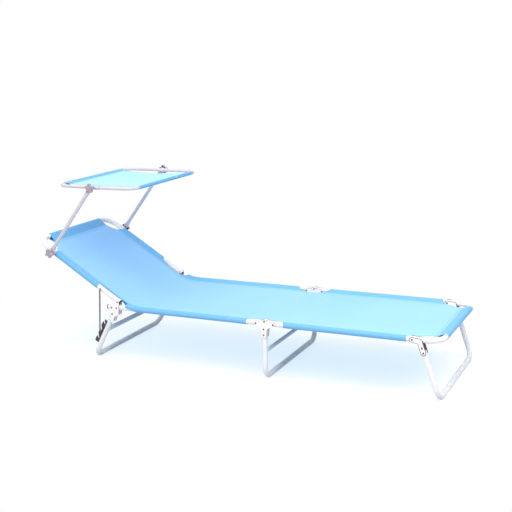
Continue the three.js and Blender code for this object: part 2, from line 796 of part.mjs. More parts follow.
function hoodSheet() {
  const middle = (hoodFront - hoodRear) / 2;
  const half = (hoodFront + hoodRear) / 2;
  const top = hoodRadius + gap + hoodCloth;
  const xs = spread(-hoodRear, hoodFront, sagSteps);
  const ys = spread(-hoodClothHalf, hoodClothHalf, endSteps);
  const height = (x) => {
    const share = 1 - ((x - middle) / half) ** 2;
    return top - hoodSag * share;
  };
  let body = sheet(xs, ys, height, hoodCloth);
  for (const x of [-hoodRear, hoodFront]) {
    body = withCrossSleeve(body, x, hoodClothHalf, hoodRadius + gap, hoodCloth);
  }
  for (const side of [1, -1]) {
    body = body.subtract(planCut(middle, side * hoodClothHalf, half - hoodCutMargin, hoodClothInset));
  }
  return body;
}

// The point in the seat frame of a place in a group that stands at a pivot and is turned about Y.
function placed(frame, x, z) {
  const c = Math.cos(frame.turn);
  const s = Math.sin(frame.turn);
  return new THREE.Vector2(frame.x + x * c + z * s, frame.z - x * s + z * c);
}

const backFrame = { x: backPivotX, z: backRise, turn: backAngle };
const headLegFrame = { x: legPivotX, z: -legDrop, turn: headLegLean };
const stayTop = placed(backFrame, -stayReach, 0);
const staySeat = placed(headLegFrame, -rack.seatOffset, -rack.middleSeat);
const stayRun = new THREE.Vector2().subVectors(staySeat, stayTop);
const stayLength = stayRun.length();
const stayTurn = Math.atan2(-stayRun.x, -stayRun.y);

// The stay hangs along -Z from the holes in the backrest tube.
function propBail() {
  const inside = railSide - wireTail;
  const corners = [
    new THREE.Vector3(0, -inside, 0), new THREE.Vector3(0, -stayPlane, 0),
    new THREE.Vector3(0, -stayPlane, -stayLength), new THREE.Vector3(0, stayPlane, -stayLength),
    new THREE.Vector3(0, stayPlane, 0), new THREE.Vector3(0, inside, 0),
  ];
  const radii = [wireRadius + gap, wireBend, wireBend, wireRadius + gap];
  return bar(new BentPath(corners, radii, bendSteps - 1), wireRadius, wireSides);
}

function buildBackrest(seat) {
  const group = new THREE.Group();
  group.position.set(backFrame.x, 0, backFrame.z);
  group.rotation.y = backFrame.turn;
  seat.add(group);
  group.add(piece('backrest_tube', shell(backrestTube()), colours.steel));
  pair(group, 'backrest_plug', railPlug(backEnd, 1, [[0, 0]]), colours.black);
  group.add(piece('backrest_sling', shell(backSling()), colours.cloth));
  pair(group, 'canopy_clamp', canopyClamp(), colours.brown);
  const stay = new THREE.Group();
  stay.position.x = -stayReach;
  stay.rotation.y = stayTurn - backFrame.turn;
  stay.add(piece('prop_bail', shell(propBail()), colours.wire));
  group.add(stay);
  buildCanopy(group);
}

function buildCanopy(back) {
  const arms = new THREE.Group();
  arms.position.x = -clampReach;
  arms.rotation.y = -armAngle - backFrame.turn;
  back.add(arms);
  pair(arms, 'canopy_arm', canopyArm(), colours.steel);
  const lower = new THREE.Group();
  lower.position.x = -clampReach;
  back.add(lower);
  const hood = new THREE.Group();
  hood.position.x = armLength;
  hood.rotation.y = armAngle;
  arms.add(hood);
  hood.add(piece('canopy_rear_tube', shell(hoodTube(-1, hoodRear, hoodJoint - gap)), colours.steel));
  hood.add(piece('canopy_front_tube', shell(hoodTube(1, hoodFront, hoodJoint + gap)), colours.steel));
  pair(hood, 'canopy_bracket', canopyBracket(), colours.brown);
  hood.add(piece('canopy_fabric', shell(hoodSheet()), colours.hoodCloth));
  for (const [name, side] of [['left', 1], ['right', -1]]) {
    knobOn(lower, `knob_lower_${name}`, side);
    knobOn(hood, `knob_upper_${name}`, side);
  }
}

// A leg hangs along -Z from its pivot; its U ends at the given height on each side.
function legTube(length, top, x, lean) {
  const corners = [
    new THREE.Vector3(x, -railSide, top), new THREE.Vector3(x, -railSide, -length),
    new THREE.Vector3(x, railSide, -length), new THREE.Vector3(x, railSide, top),
  ];
  const path = new BentPath(corners, [legCornerRadius, legCornerRadius]);
  return tube(path, tubeRadius, tubeWall, tubeSides, boreSides, -lean);
}

// A cross bar with its ends cut to seat on the leg tubes.
function crossBar(x, z) {
  const half = railSide - tubeWall;
  const path = new BentPath([new THREE.Vector3(x, -half, z), new THREE.Vector3(x, half, z)], []);
  let body = tube(path, crossRadius, tubeWall, crossSides, boreSides);
  for (const side of [1, -1]) {
    const radius = clearOf(tubeRadius + gap, tubeSides);
    const reach = crossRadius + overrun;
    body = body.subtract(uprightRod(radius, tubeSides, x, side * railSide, z - reach, z + reach));
  }
  return body;
}

// The rack's outline, with t outwards from the leg's axis and s down along it.
function rackOutline() {
  const r = rack;
  const slot = wireRadius + gap;
  const lip = [Math.sin(r.lipAngle), -Math.cos(r.lipAngle)];
  const roof = [Math.sin(r.roofAngle), -Math.cos(r.roofAngle)];
  const points = [[r.root, r.bottom], [r.root, r.top]];
  for (let i = 0; i < r.count; i += 1) {
    const s = r.middleSeat + (i - (r.count - 1) / 2) * r.pitch;
    const t = r.seatOffset;
    const roofStart = [t + slot * roof[1], s - slot * roof[0]];
    const toEdge = (r.width - roofStart[0]) / roof[0];
    const toTop = (roofStart[1] - r.top) / -roof[1];
    const run = Math.min(toEdge, toTop);
    points.push([roofStart[0] + run * roof[0], roofStart[1] + run * roof[1]]);
    const from = Math.atan2(-roof[0], roof[1]);
    const to = Math.atan2(lip[0], -lip[1]);
    const sweep = (to - from + 2 * Math.PI) % (2 * Math.PI);
    const turn = sweep - 2 * Math.PI;
    for (let k = 0; k <= r.seatSteps; k += 1) {
      const angle = from + (turn * k) / r.seatSteps;
      const reach = clearOf(slot, (2 * Math.PI * r.seatSteps) / -turn);
      points.push([t + reach * Math.cos(angle), s + reach * Math.sin(angle)]);
    }
    const lipStart = [t - slot * lip[1], s + slot * lip[0]];
    const lipRun = (r.width - lipStart[0] - r.tipRadius) / lip[0];
    points.push([lipStart[0] + lipRun * lip[0], lipStart[1] + lipRun * lip[1]]);
    points.push([r.width, lipStart[1] + lipRun * lip[1] + r.tipRadius]);
  }
  points.push([r.width, r.bottom - r.cornerRadius], [r.width - r.cornerRadius, r.bottom]);
  return shapeOf(points.map(([t, s]) => [-t, -s]));
}

function legRack() {
  const half = rack.thickness / 2;
  const body = solid(slab(rackOutline(), railSide - half, railSide + half));
  const radius = clearOf(tubeRadius + gap, tubeSides);
  const seat = uprightRod(radius, tubeSides, 0, railSide, -rack.bottom - overrun, -rack.top + overrun);
  return body.subtract(seat);
}

// The head leg's plug closes the tube and bears on the rail with its flat half.
function headLegPlug() {
  const reach = legDrop - tubeRadius - gap;
  const keep = slab(shapeOf(stopOutline(reach, 2 * tubeRadius)), 0, 2 * railSide);
  keep.rotateY(-headLegLean);
  const from = headLegTop + gap;
  const cap = uprightRod(tubeRadius, tubeSides, 0, railSide, from, reach + overrun).intersect(solid(keep));
  const stub = uprightRod(plugStubRadius(), plugSides, 0, railSide, from - plugDepth, from + plugEdge);
  return drilled(cap.add(stub), [[0, 0]], [1]);
}

function buildHeadLeg(seat) {
  const group = new THREE.Group();
  group.position.set(headLegFrame.x, 0, headLegFrame.z);
  group.rotation.y = headLegFrame.turn;
  seat.add(group);
  const body = drilled(legTube(headLegLength, headLegTop, 0, headLegLean), [[0, 0]]);
  group.add(piece('head_leg_tube', shell(body), colours.steel));
  group.add(piece('head_leg_crossbar', shell(crossBar(0, -headCrossDrop)), colours.bar));
  pair(group, 'head_leg_rack', legRack(), colours.rackGrey);
  pair(group, 'head_leg_plug', headLegPlug(), colours.black);
}

const midRivets = [[midLegShift, -midPlate.upperRivet], [midLegShift, -midPlate.lowerRivet]];

function midPlateOutline() {
  const p = midPlate;
  const left = seatPivotX - p.tip;
  const right = footPivotX + p.tip;
  const x = midLegShift;
  return filleted([
    [right, p.topEdge, p.tipRadius], [p.bumpFoot, p.topEdge, p.bumpRadius],
    [p.bumpHalf, p.bumpTop, p.bumpRadius], [-p.bumpHalf, p.bumpTop, p.bumpRadius],
    [-p.bumpFoot, p.topEdge, p.bumpRadius], [left, p.topEdge, p.tipRadius],
    [left, -p.heelDepth, p.heelRadius], [x - p.neckHalf, -p.neckDepth, p.neckRadius],
    [x - p.stemHalf, -p.stemDrop, p.stemRadius], [x + p.stemHalf, -p.stemDrop, p.stemRadius],
    [x + p.neckHalf, -p.neckDepth, p.neckRadius], [right, -p.heelDepth, p.heelRadius],
  ]);
}

// The pin keeps the two plates apart above the leg; its heads lie outside them.
function spacerPin() {
  const inner = railSide - plateFace + gap;
  const outer = railSide + plateFace - gap;
  return crossPin(pinRadius, rivetSides, 0, midPlate.pinHeight, inner, outer);
}

function buildMidLeg(seat) {
  const group = new THREE.Group();
  seat.add(group);
  const body = drilled(legTube(midLegLength, midLegTop, midLegShift, 0), midRivets);
  group.add(piece('mid_leg_tube', shell(body), colours.steel));
  group.add(piece('mid_leg_crossbar', shell(crossBar(midLegShift, -midCrossDrop)), colours.bar));
  const rivets = [[seatPivotX, 0], [footPivotX, 0], ...midRivets];
  let outer = outerPlate(midPlateOutline(), rivets);
  outer = outer.add(rivetCap(0, midPlate.pinHeight, railSide + plateFace + plateThickness, 1));
  let inner = innerPlate(midPlateOutline(), rivets);
  inner = inner.add(rivetCap(0, midPlate.pinHeight, railSide - plateFace - plateThickness, -1));
  pair(group, 'mid_plate_outer', outer, colours.plate);
  pair(group, 'mid_plate_inner', inner, colours.plate);
  pair(group, 'mid_spacer_pin', spacerPin(), colours.plate);
}

function footFrameTube() {
  const face = midLegShift + tubeRadius + gap;
  const corners = [
    new THREE.Vector3(face, -railSide, 0), new THREE.Vector3(footBarX, -railSide, 0),
    new THREE.Vector3(footBarX, railSide, 0), new THREE.Vector3(face, railSide, 0),
  ];
  const path = new BentPath(corners, [footCornerRadius, footCornerRadius]);
  const body = tube(path, tubeRadius, tubeWall, tubeSides, boreSides);
  const cut = body.intersect(railEndKeep(footPivotX, face, -1));
  return drilled(cut, [[footPivotX, 0], [footLegPivotX, 0]]);
}

// A plate that follows a bent line at a constant width with round ends.
function footPlateOutline() {
  const p = footPlate;
  const line = [
    new THREE.Vector2(0, 0), new THREE.Vector2(footLegOffset, -p.elbowDrop),
    new THREE.Vector2(footLegOffset, -p.lowerRivet),
  ];
  const out = new THREE.Vector2().subVectors(line[1], line[0]).normalize();
  const down = new THREE.Vector2().subVectors(line[2], line[1]).normalize();
  const mitre = new THREE.Vector2(-out.y - down.y, out.x + down.x).normalize();
  const stretch = p.half / Math.cos(out.angleTo(down) / 2);
  const at = (point, along, forward, across) => {
    const x = point.x + along.x * forward - along.y * across;
    return [x, point.y + along.y * forward + along.x * across];
  };
  const end = p.half - weldDistance;
  return filleted([
    [...at(line[0], out, -p.half, p.half), end], [...at(line[0], out, -p.half, -p.half), end],
    [line[1].x - mitre.x * stretch, line[1].y - mitre.y * stretch, p.innerRadius],
    [...at(line[2], down, p.half, -p.half), end], [...at(line[2], down, p.half, p.half), end],
    [line[1].x + mitre.x * stretch, line[1].y + mitre.y * stretch, p.elbowRadius],
  ]);
}

const footRivets = [[footLegOffset, -footPlate.upperRivet], [footLegOffset, -footPlate.lowerRivet]];

// Half-space below the rail's underside, in the leg's own frame.
function underRail(clearance) {
  const extent = 2 * footLegLength;
  const top = -tubeRadius - clearance;
  const outline = [[-extent, -extent], [extent, -extent], [extent, top], [-extent, top]];
  const geometry = slab(shapeOf(outline), -railSpacing, railSpacing);
  geometry.rotateY(footLegLean);
  return solid(geometry);
}

const footLegAxisTop = -(tubeRadius + gap) / Math.cos(footLegLean) - footLegOffset * Math.tan(footLegLean);

function footLegTube() {
  const body = legTube(footLegLength, 0, footLegOffset, -footLegLean);
  return drilled(body.intersect(underRail(2 * gap + footCap.crown)), footRivets);
}

// The cap sits over the leg's top with a cheek before and behind it, flush with the hinge plates' room.
function footLegCap() {
  const c = footCap;
  const x = footLegOffset;
  const outer = uprightRod(c.radius, c.sides, x, railSide, footLegAxisTop - c.depth, overrun);
  const flat = [
    [x - 2 * c.radius, -footLegLength], [x + 2 * c.radius, -footLegLength],
    [x + 2 * c.radius, footLegLength], [x - 2 * c.radius, footLegLength],
  ];
  const room = solid(slab(shapeOf(flat), railSide - tubeRadius, railSide + tubeRadius));
  const inner = clearOf(tubeRadius + gap, tubeSides);
  const bore = uprightRod(inner, tubeSides, x, railSide, -footLegLength, overrun);
  const cap = outer.intersect(room).intersect(underRail(gap));
  return cap.subtract(bore.intersect(underRail(gap + c.crown)));
}

function buildFootSection(seat) {
  const group = new THREE.Group();
  seat.add(group);
  group.add(piece('foot_frame_tube', shell(footFrameTube()), colours.steel));
  group.add(piece('foot_sling', shell(footSling()), colours.seatCloth));
  const leg = new THREE.Group();
  leg.position.x = footLegPivotX;
  leg.rotation.y = -footLegLean;
  group.add(leg);
  leg.add(piece('foot_leg_tube', shell(footLegTube()), colours.steel));
  const rivets = [[0, 0], ...footRivets];
  pair(leg, 'foot_plate_outer', outerPlate(footPlateOutline(), rivets), colours.plate);
  pair(leg, 'foot_plate_inner', innerPlate(footPlateOutline(), rivets), colours.plate);
  pair(leg, 'foot_leg_cap', footLegCap(), colours.black);
}

function buildLounger() {
  const lounger = new THREE.Group();
  const seat = new THREE.Group();
  seat.position.z = railHeight;
  lounger.add(seat);
  buildSeatFrame(seat);
  buildBackrest(seat);
  buildHeadLeg(seat);
  buildMidLeg(seat);
  buildFootSection(seat);
  lounger.updateMatrixWorld(true);
  const box = new THREE.Box3().setFromObject(lounger, true);
  seat.position.x -= (box.min.x + box.max.x) / 2;
  lounger.updateMatrixWorld(true);
  return lounger;
}

export default buildLounger();
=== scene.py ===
"""Dresses the folding sun lounger with canopy: its tubes, hinge plates, racks, knobs and stretched cloth."""

import json
import logging
import math
from dataclasses import dataclass, field
from enum import Enum, IntEnum
from typing import Callable, Iterable, Sequence

import bmesh
import bpy
import numpy as np
from mathutils import Matrix

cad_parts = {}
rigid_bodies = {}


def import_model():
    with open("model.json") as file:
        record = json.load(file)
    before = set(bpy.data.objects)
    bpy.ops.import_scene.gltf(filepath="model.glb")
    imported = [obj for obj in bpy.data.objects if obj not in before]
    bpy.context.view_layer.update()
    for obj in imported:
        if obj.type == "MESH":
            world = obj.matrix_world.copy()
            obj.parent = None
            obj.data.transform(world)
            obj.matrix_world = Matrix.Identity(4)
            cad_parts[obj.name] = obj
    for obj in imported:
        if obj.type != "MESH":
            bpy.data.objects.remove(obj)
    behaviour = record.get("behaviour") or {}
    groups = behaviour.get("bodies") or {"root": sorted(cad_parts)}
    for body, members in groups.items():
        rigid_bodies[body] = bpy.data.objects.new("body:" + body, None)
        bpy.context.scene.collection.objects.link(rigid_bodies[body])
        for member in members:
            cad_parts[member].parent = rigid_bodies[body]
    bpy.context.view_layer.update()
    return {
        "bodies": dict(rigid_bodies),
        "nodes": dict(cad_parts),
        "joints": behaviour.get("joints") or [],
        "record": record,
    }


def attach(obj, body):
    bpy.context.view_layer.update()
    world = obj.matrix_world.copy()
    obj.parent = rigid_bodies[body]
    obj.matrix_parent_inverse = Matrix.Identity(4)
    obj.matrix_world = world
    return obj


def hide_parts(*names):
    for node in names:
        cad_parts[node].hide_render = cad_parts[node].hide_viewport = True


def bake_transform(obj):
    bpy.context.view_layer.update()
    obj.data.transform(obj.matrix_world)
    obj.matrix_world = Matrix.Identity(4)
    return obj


log = logging.getLogger("lounger")
Array = np.ndarray
Colour = tuple[float, float, float]
Triple = tuple[float, float, float]
Path = tuple[Array, Array]
Profile = Sequence[tuple[float, float]]
Material = bpy.types.Material

GAP = 0.0003  # the clearance between solids that touch, in metres
MERGE = 2e-7  # points of a mesh that are closer than this become one, in metres


class Side(Enum):
    """The two sides, as a person lying on the bed has them."""

    RIGHT = -1
    LEFT = 1

    @property
    def word(self) -> str:
        """The side's name in lower case."""
        return self.name.lower()


class Coat(IntEnum):
    """Which of a piece's finishes a face wears: its own, its rivets' or stud's, or its rim's or sleeve's."""

    FIRST = 0
    SECOND = 1
    THIRD = 2


# ---- frames and shapes


@dataclass(frozen=True)
class Place:
    """A local frame on the middle plane: its origin (x, z) and its turn about +Y, in radians."""

    x: float = 0.0
    z: float = 0.0
    turn: float = 0.0

    def put(self, points: Array) -> Array:
        """Carries points into the object's frame: a turn about +Y, then the shift to this frame's origin.

        Args:
            points: Local points, of shape (..., 3).

        Returns:
            The points in the object's frame.
        """
        c, s = math.cos(self.turn), math.sin(self.turn)
        x, y, z = np.moveaxis(np.asarray(points, float), -1, 0)
        return np.stack([self.x + x * c + z * s, y, self.z - x * s + z * c], -1)

    def within(self, x: float, z: float, turn: float = 0.0) -> "Place":
        """A frame that stands at (x, z) in this one and is turned further."""
        px, _, pz = self.put(np.array([x, 0.0, z]))
        return Place(float(px), float(pz), self.turn + turn)


@dataclass
class Shape:
    """Points with their faces, and for each face the finish that it wears."""

    points: Array
    faces: list[list[int]]
    wear: list[int] = field(default_factory=list)

    def __post_init__(self) -> None:
        """Gives every face the first finish where none is named."""
        if not self.wear:
            self.wear = [Coat.FIRST] * len(self.faces)

    def __add__(self, other: "Shape") -> "Shape":
        """Both shapes as one, side by side in the same mesh."""
        moved = [[v + len(self.points) for v in face] for face in other.faces]
        return Shape(np.concatenate([self.points, other.points]), self.faces + moved, self.wear + other.wear)

    def worn(self, coat: Coat) -> "Shape":
        """The same shape in another of the piece's finishes."""
        return Shape(self.points, self.faces, [coat] * len(self.faces))

    def at(self, place: Place, side: Side = Side.LEFT) -> "Shape":
        """The shape put into a frame, mirrored to the right where that is its side."""
        points = self.points * np.array([1.0, side.value, 1.0])
        return Shape(place.put(points), self.faces, self.wear)


def smooth(x: Array, low: float, high: float) -> Array:
    """The smooth step t t (3 - 2 t) of x from low to high."""
    t = np.clip((x - low) / (high - low), 0, 1)
    return t * t * (3 - 2 * t)


def around(sides: int) -> Array:
    """Angles q spaced evenly round a circle, half a step off 0."""
    return 2 * np.pi * (np.arange(sides) + 0.5) / sides


def mirrored(left: Sequence[Triple]) -> list[Triple]:
    """The corners of a symmetric line from its right end to its left one, from those of its left half."""
    return [(x, -y, z) for x, y, z in reversed(left)] + list(left)


def grid_faces(rows: int, cols: int, wrap_rows: bool, wrap_cols: bool) -> list[list[int]]:
    """Quads between the points of a grid.

    Args:
        rows: How many rows it has.
        cols: How many points each row has.
        wrap_rows: Whether the last row joins the first.
        wrap_cols: Whether each row joins itself.

    Returns:
        The four points of each quad.
    """
    bands, steps = rows - (not wrap_rows), cols - (not wrap_cols)
    i, j = np.meshgrid(np.arange(bands), np.arange(steps), indexing="ij")
    i2, j2 = (i + 1) % rows, (j + 1) % cols
    quads = np.stack([i * cols + j, i2 * cols + j, i2 * cols + j2, i * cols + j2], -1)
    return quads.reshape(-1, 4).tolist()


def grid_shape(grid: Array, wrap_rows: bool = False, wrap_cols: bool = True) -> Shape:
    """A grid of points (rows, cols, 3) as a shape."""
    rows, cols = grid.shape[:2]
    return Shape(grid.reshape(-1, 3), grid_faces(rows, cols, wrap_rows, wrap_cols))


def bent_path(corners: Sequence[Sequence[float]], radii: Sequence[float], steps: int) -> Path:
    """The centre line of straights and round bends, and its directions.

    A bend of radius r between unit directions d and e begins r tan(turn / 2) before its corner, and its
    points are c + a cos q + (axis x a) sin q for q from 0 to the turn, a being the arm to its start.

    Args:
        corners: The line's ends, and the corners between them.
        radii: One bend radius for each inner corner.
        steps: Stations in each bend.

    Returns:
        Stations and unit directions, each of shape (n, 3).
    """
    k = np.asarray(corners, float)
    d = np.diff(k, axis=0)
    d /= np.linalg.norm(d, axis=1)[:, None]
    points, ways = [k[:1]], [d[:1]]
    for i, radius in enumerate(radii, start=1):
        a, b = d[i - 1], d[i]
        turn = math.acos(float(np.clip(a @ b, -1, 1)))
        axis = np.cross(a, b) / math.sin(turn)
        begin = k[i] - a * radius * math.tan(turn / 2)
        centre = begin + np.cross(axis, a) * radius
        q = np.linspace(0, turn, steps + 1)[:, None]
        arm = begin - centre
        points.append(centre + arm * np.cos(q) + np.cross(axis, arm) * np.sin(q))
        ways.append(a * np.cos(q) + np.cross(axis, a) * np.sin(q))
    return np.concatenate(points + [k[-1:]]), np.concatenate(ways + [d[-1:]])


def rings(path: Path, binormal: Triple, sides: int) -> Array:
    """Unit rings across a flat path: cos q n + sin q b, with b the path's normal and n = b x direction.

    Args:
        path: Stations and unit directions.
        binormal: The path's normal.
        sides: How many points a ring has.

    Returns:
        The rings' points from their middles, of shape (stations, sides, 3).
    """
    b, q = np.asarray(binormal, float), around(sides)
    n = np.cross(b, path[1])
    return np.cos(q)[None, :, None] * n[:, None] + np.sin(q)[None, :, None] * b


def tube(path: Path, binormal: Triple, radius: float, wall: float, sides: int) -> Shape:
    """A hollow tube along a flat path.

    The ring at a station is its centre + r times the unit ring. The rows run out along the outside and back
    along the bore, so the surface closes on itself.

    Args:
        path: Stations and unit directions.
        binormal: The path's normal.
        radius: The outer radius.
        wall: The wall's thickness.
        sides: How many points a ring has.

    Returns:
        The tube.
    """
    ring, points = rings(path, binormal, sides), path[0][:, None]
    outer, inner = points + radius * ring, (points + (radius - wall) * ring)[::-1]
    return grid_shape(np.concatenate([outer, inner]), wrap_rows=True)


def rod(path: Path, binormal: Triple, radius: float, sides: int, soft: float = 0.12) -> Shape:
    """A solid rod along a flat path, with rings as a tube has and each end drawn in to its middle.

    Args:
        path: Stations and unit directions.
        binormal: The path's normal.
        radius: The radius.
        sides: How many points a ring has.
        soft: The chamfer of the ends, as a share of the radius.

    Returns:
        The rod.
    """
    (points, ways), ring = path, rings(path, binormal, sides)
    edge = soft * radius
    first = [(points[0], 0.0), (points[0], radius - edge), (points[0] + ways[0] * edge, radius)]
    last = [(points[-1] - ways[-1] * edge, radius), (points[-1], radius - edge), (points[-1], 0.0)]
    head = np.stack([p + r * ring[0] for p, r in first])
    tail = np.stack([p + r * ring[-1] for p, r in last])
    body = points[1:-1, None] + radius * ring[1:-1]
    return grid_shape(np.concatenate([head, body, tail]))


def turned(profile: Profile, sides: int, x: float = 0.0, z: float = 0.0, closed: bool = False) -> Shape:
    """A round turned about a line along Y: radius r at angle q stands at (x + r cos q, z + r sin q).

    Args:
        profile: Pairs of radius and y.
        sides: How many points a ring has.
        x: Where the line passes along X.
        z: Where the line passes along Z.
        closed: Whether the profile's end joins its start.

    Returns:
        The round.
    """
    (r, y), q = np.array(profile, float).T[..., None], around(sides)
    return grid_shape(np.stack([x + r * np.cos(q), y + 0 * q, z + r * np.sin(q)], -1), closed)


def spun(profile: Profile, sides: int, y: float, closed: bool = False) -> Shape:
    """A round turned about a line along X at the given y, from pairs of radius and x."""
    shape = turned(profile, sides, closed=closed)
    return Shape(shape.points[:, [1, 0, 2]] + [0.0, y, 0.0], shape.faces)


def rounded(radius: float, start: float, end: float, edge: float, steps: int = 3) -> Profile:
    """The profile of a closed round with softened edges, each a quarter circle.

    Args:
        radius: The round's radius.
        start: Where it begins along its line.
        end: Where it ends.
        edge: The radius of the quarter circles.
        steps: How many steps each has.

    Returns:
        Pairs of radius and place along the line.
    """
    q = np.linspace(0, np.pi / 2, steps + 1)
    low = [(radius - edge + edge * math.sin(a), start + edge - edge * math.cos(a)) for a in q]
    high = [(radius - edge + edge * math.cos(a), end - edge + edge * math.sin(a)) for a in q]
    return [(0.0, start), *low, *high, (0.0, end)]


def filleted(corners: Sequence[Triple], steps: int = 7, same: float = 1e-5) -> Array:
    """An outline whose corners are rounded.

    A corner's arc has its centre on the bisector at r / sin(half angle), and runs between the points
    r / tan(half angle) from the corner.

    Args:
        corners: Each corner's x, z and radius.
        steps: How many steps an arc has.
        same: Points closer than this to the one before are left out.

    Returns:
        The outline's points (x, z).
    """
    k = np.array([c[:2] for c in corners])
    parts = []
    for i, (_, _, radius) in enumerate(corners):
        back, on = k[i - 1] - k[i], k[(i + 1) % len(k)] - k[i]
        back, on = back / np.linalg.norm(back), on / np.linalg.norm(on)
        half = math.acos(float(np.clip(back @ on, -1, 1))) / 2
        middle = (back + on) / np.linalg.norm(back + on)
        centre = k[i] + middle * radius / math.sin(half)
        a = k[i] + back * radius / math.tan(half) - centre
        b = k[i] + on * radius / math.tan(half) - centre
        start = math.atan2(a[1], a[0])
        turn = (math.atan2(b[1], b[0]) - start + math.pi) % (2 * math.pi) - math.pi
        q = start + np.linspace(0, turn, steps + 1)
        parts.append(centre + radius * np.stack([np.cos(q), np.sin(q)], -1))
    line = np.concatenate(parts)
    return line[np.linalg.norm(line - np.roll(line, 1, 0), axis=1) > same]


def inset(outline: Array, depth: float) -> Array:
    """The outline drawn inwards along the mitre m of its neighbouring edges, by depth / (m . normal).

    Args:
        outline: The outline's points (x, z).
        depth: How far its edges move.

    Returns:
        As many points, further in.
    """
    x, z = outline.T
    area = 0.5 * np.sum(x * np.roll(z, -1) - z * np.roll(x, -1))
    edge = np.roll(outline, -1, 0) - outline
    edge /= np.maximum(np.linalg.norm(edge, axis=1), 1e-12)[:, None]
    normal = np.stack([-edge[:, 1], edge[:, 0]], -1) * np.sign(area)
    both = normal + np.roll(normal, 1, 0)
    both /= np.maximum(np.linalg.norm(both, axis=1), 1e-9)[:, None]
    reach = np.clip(np.sum(both * normal, 1), 0.5, 1)
    return outline + both * (depth / reach)[:, None]


def slab(
    outline: Array, start: float, end: float, edge: float, steps: int = 3, band: float = 0.0,
    rim: Coat = Coat.FIRST,
) -> Shape:
    """A plate with rounded edges: loops of the outline stepped in along a quarter circle.

    Args:
        outline: The outline (x, z).
        start: The y of one face.
        end: The y of the other.
        edge: The radius of the rounded edges.
        steps: How many steps round an edge has.
        band: The width of a border on both faces.
        rim: The finish of the edge and its border; on the hinge plates it is a painted shade.

    Returns:
        The plate.
    """
    q = np.linspace(0, np.pi / 2, steps + 1)
    depths = np.concatenate([edge * (1 - np.sin(q)), edge * (1 - np.cos(q))])
    heights = np.concatenate([start + edge * (1 - np.cos(q)), end - edge * (1 - np.sin(q))])
    if band:
        depths = np.concatenate([[band], depths, [band]])
        heights = np.concatenate([[start], heights, [end]])
    loops = [inset(outline, float(d)) for d in depths]
    grid = np.stack([np.insert(loop, 1, h, axis=1) for loop, h in zip(loops, heights)])
    shape = grid_shape(grid).worn(rim)
    n = len(outline)
    last = (len(depths) - 1) * n
    shape.faces += [list(range(n)), list(range(last, last + n))]
    shape.wear += [Coat.FIRST] * 2
    return shape


# ---- shader arithmetic and finishes


class Wire:
    """A socket in shader arithmetic: an expression on it adds its Math nodes."""

    def __init__(self, bench: "Bench", socket: bpy.types.NodeSocket) -> None:
        """Wraps a node's output socket."""
        self.bench = bench
        self.socket = socket

    def _with(self, operation: str, *others: "Wire | float") -> "Wire":
        """A Math node on this socket and the others."""
        return self.bench.node("ShaderNodeMath", {"operation": operation}, dict(enumerate((self, *others))))

    def __add__(self, other: "Wire | float") -> "Wire":
        """The sum."""
        return self._with("ADD", other)

    def __sub__(self, other: "Wire | float") -> "Wire":
        """The difference."""
        return self._with("SUBTRACT", other)

    def __rsub__(self, other: float) -> "Wire":
        """A number less this value."""
        return self._with("MULTIPLY", -1.0)._with("ADD", other)

    def __mul__(self, other: "Wire | float") -> "Wire":
        """The product."""
        return self._with("MULTIPLY", other)

    def __truediv__(self, other: "Wire | float") -> "Wire":
        """The quotient."""
        return self._with("DIVIDE", other)

    def __pow__(self, other: float) -> "Wire":
        """This value raised to a power."""
        return self._with("POWER", other)

    def sin(self) -> "Wire":
        """The sine."""
        return self._with("SINE")

    def abs(self) -> "Wire":
        """The size without its sign."""
        return self._with("ABSOLUTE")

    def fract(self) -> "Wire":
        """What is left over a whole number."""
        return self._with("FRACT")

    def maximum(self, other: "Wire | float") -> "Wire":
        """The larger of the two."""
        return self._with("MAXIMUM", other)

    def ramp(self, low: float, high: float) -> "Wire":
        """A smooth step.

        Args:
            low: Where it is 0.
            high: Where it is 1. Low may be the larger of the two.

        Returns:
            The step.
        """
        settings = {"interpolation_type": "SMOOTHSTEP", "clamp": True}
        ends = {"From Min": min(low, high), "From Max": max(low, high)}
        step = self.bench.node("ShaderNodeMapRange", settings, {"Value": self, **ends})
        return step if low < high else 1 - step


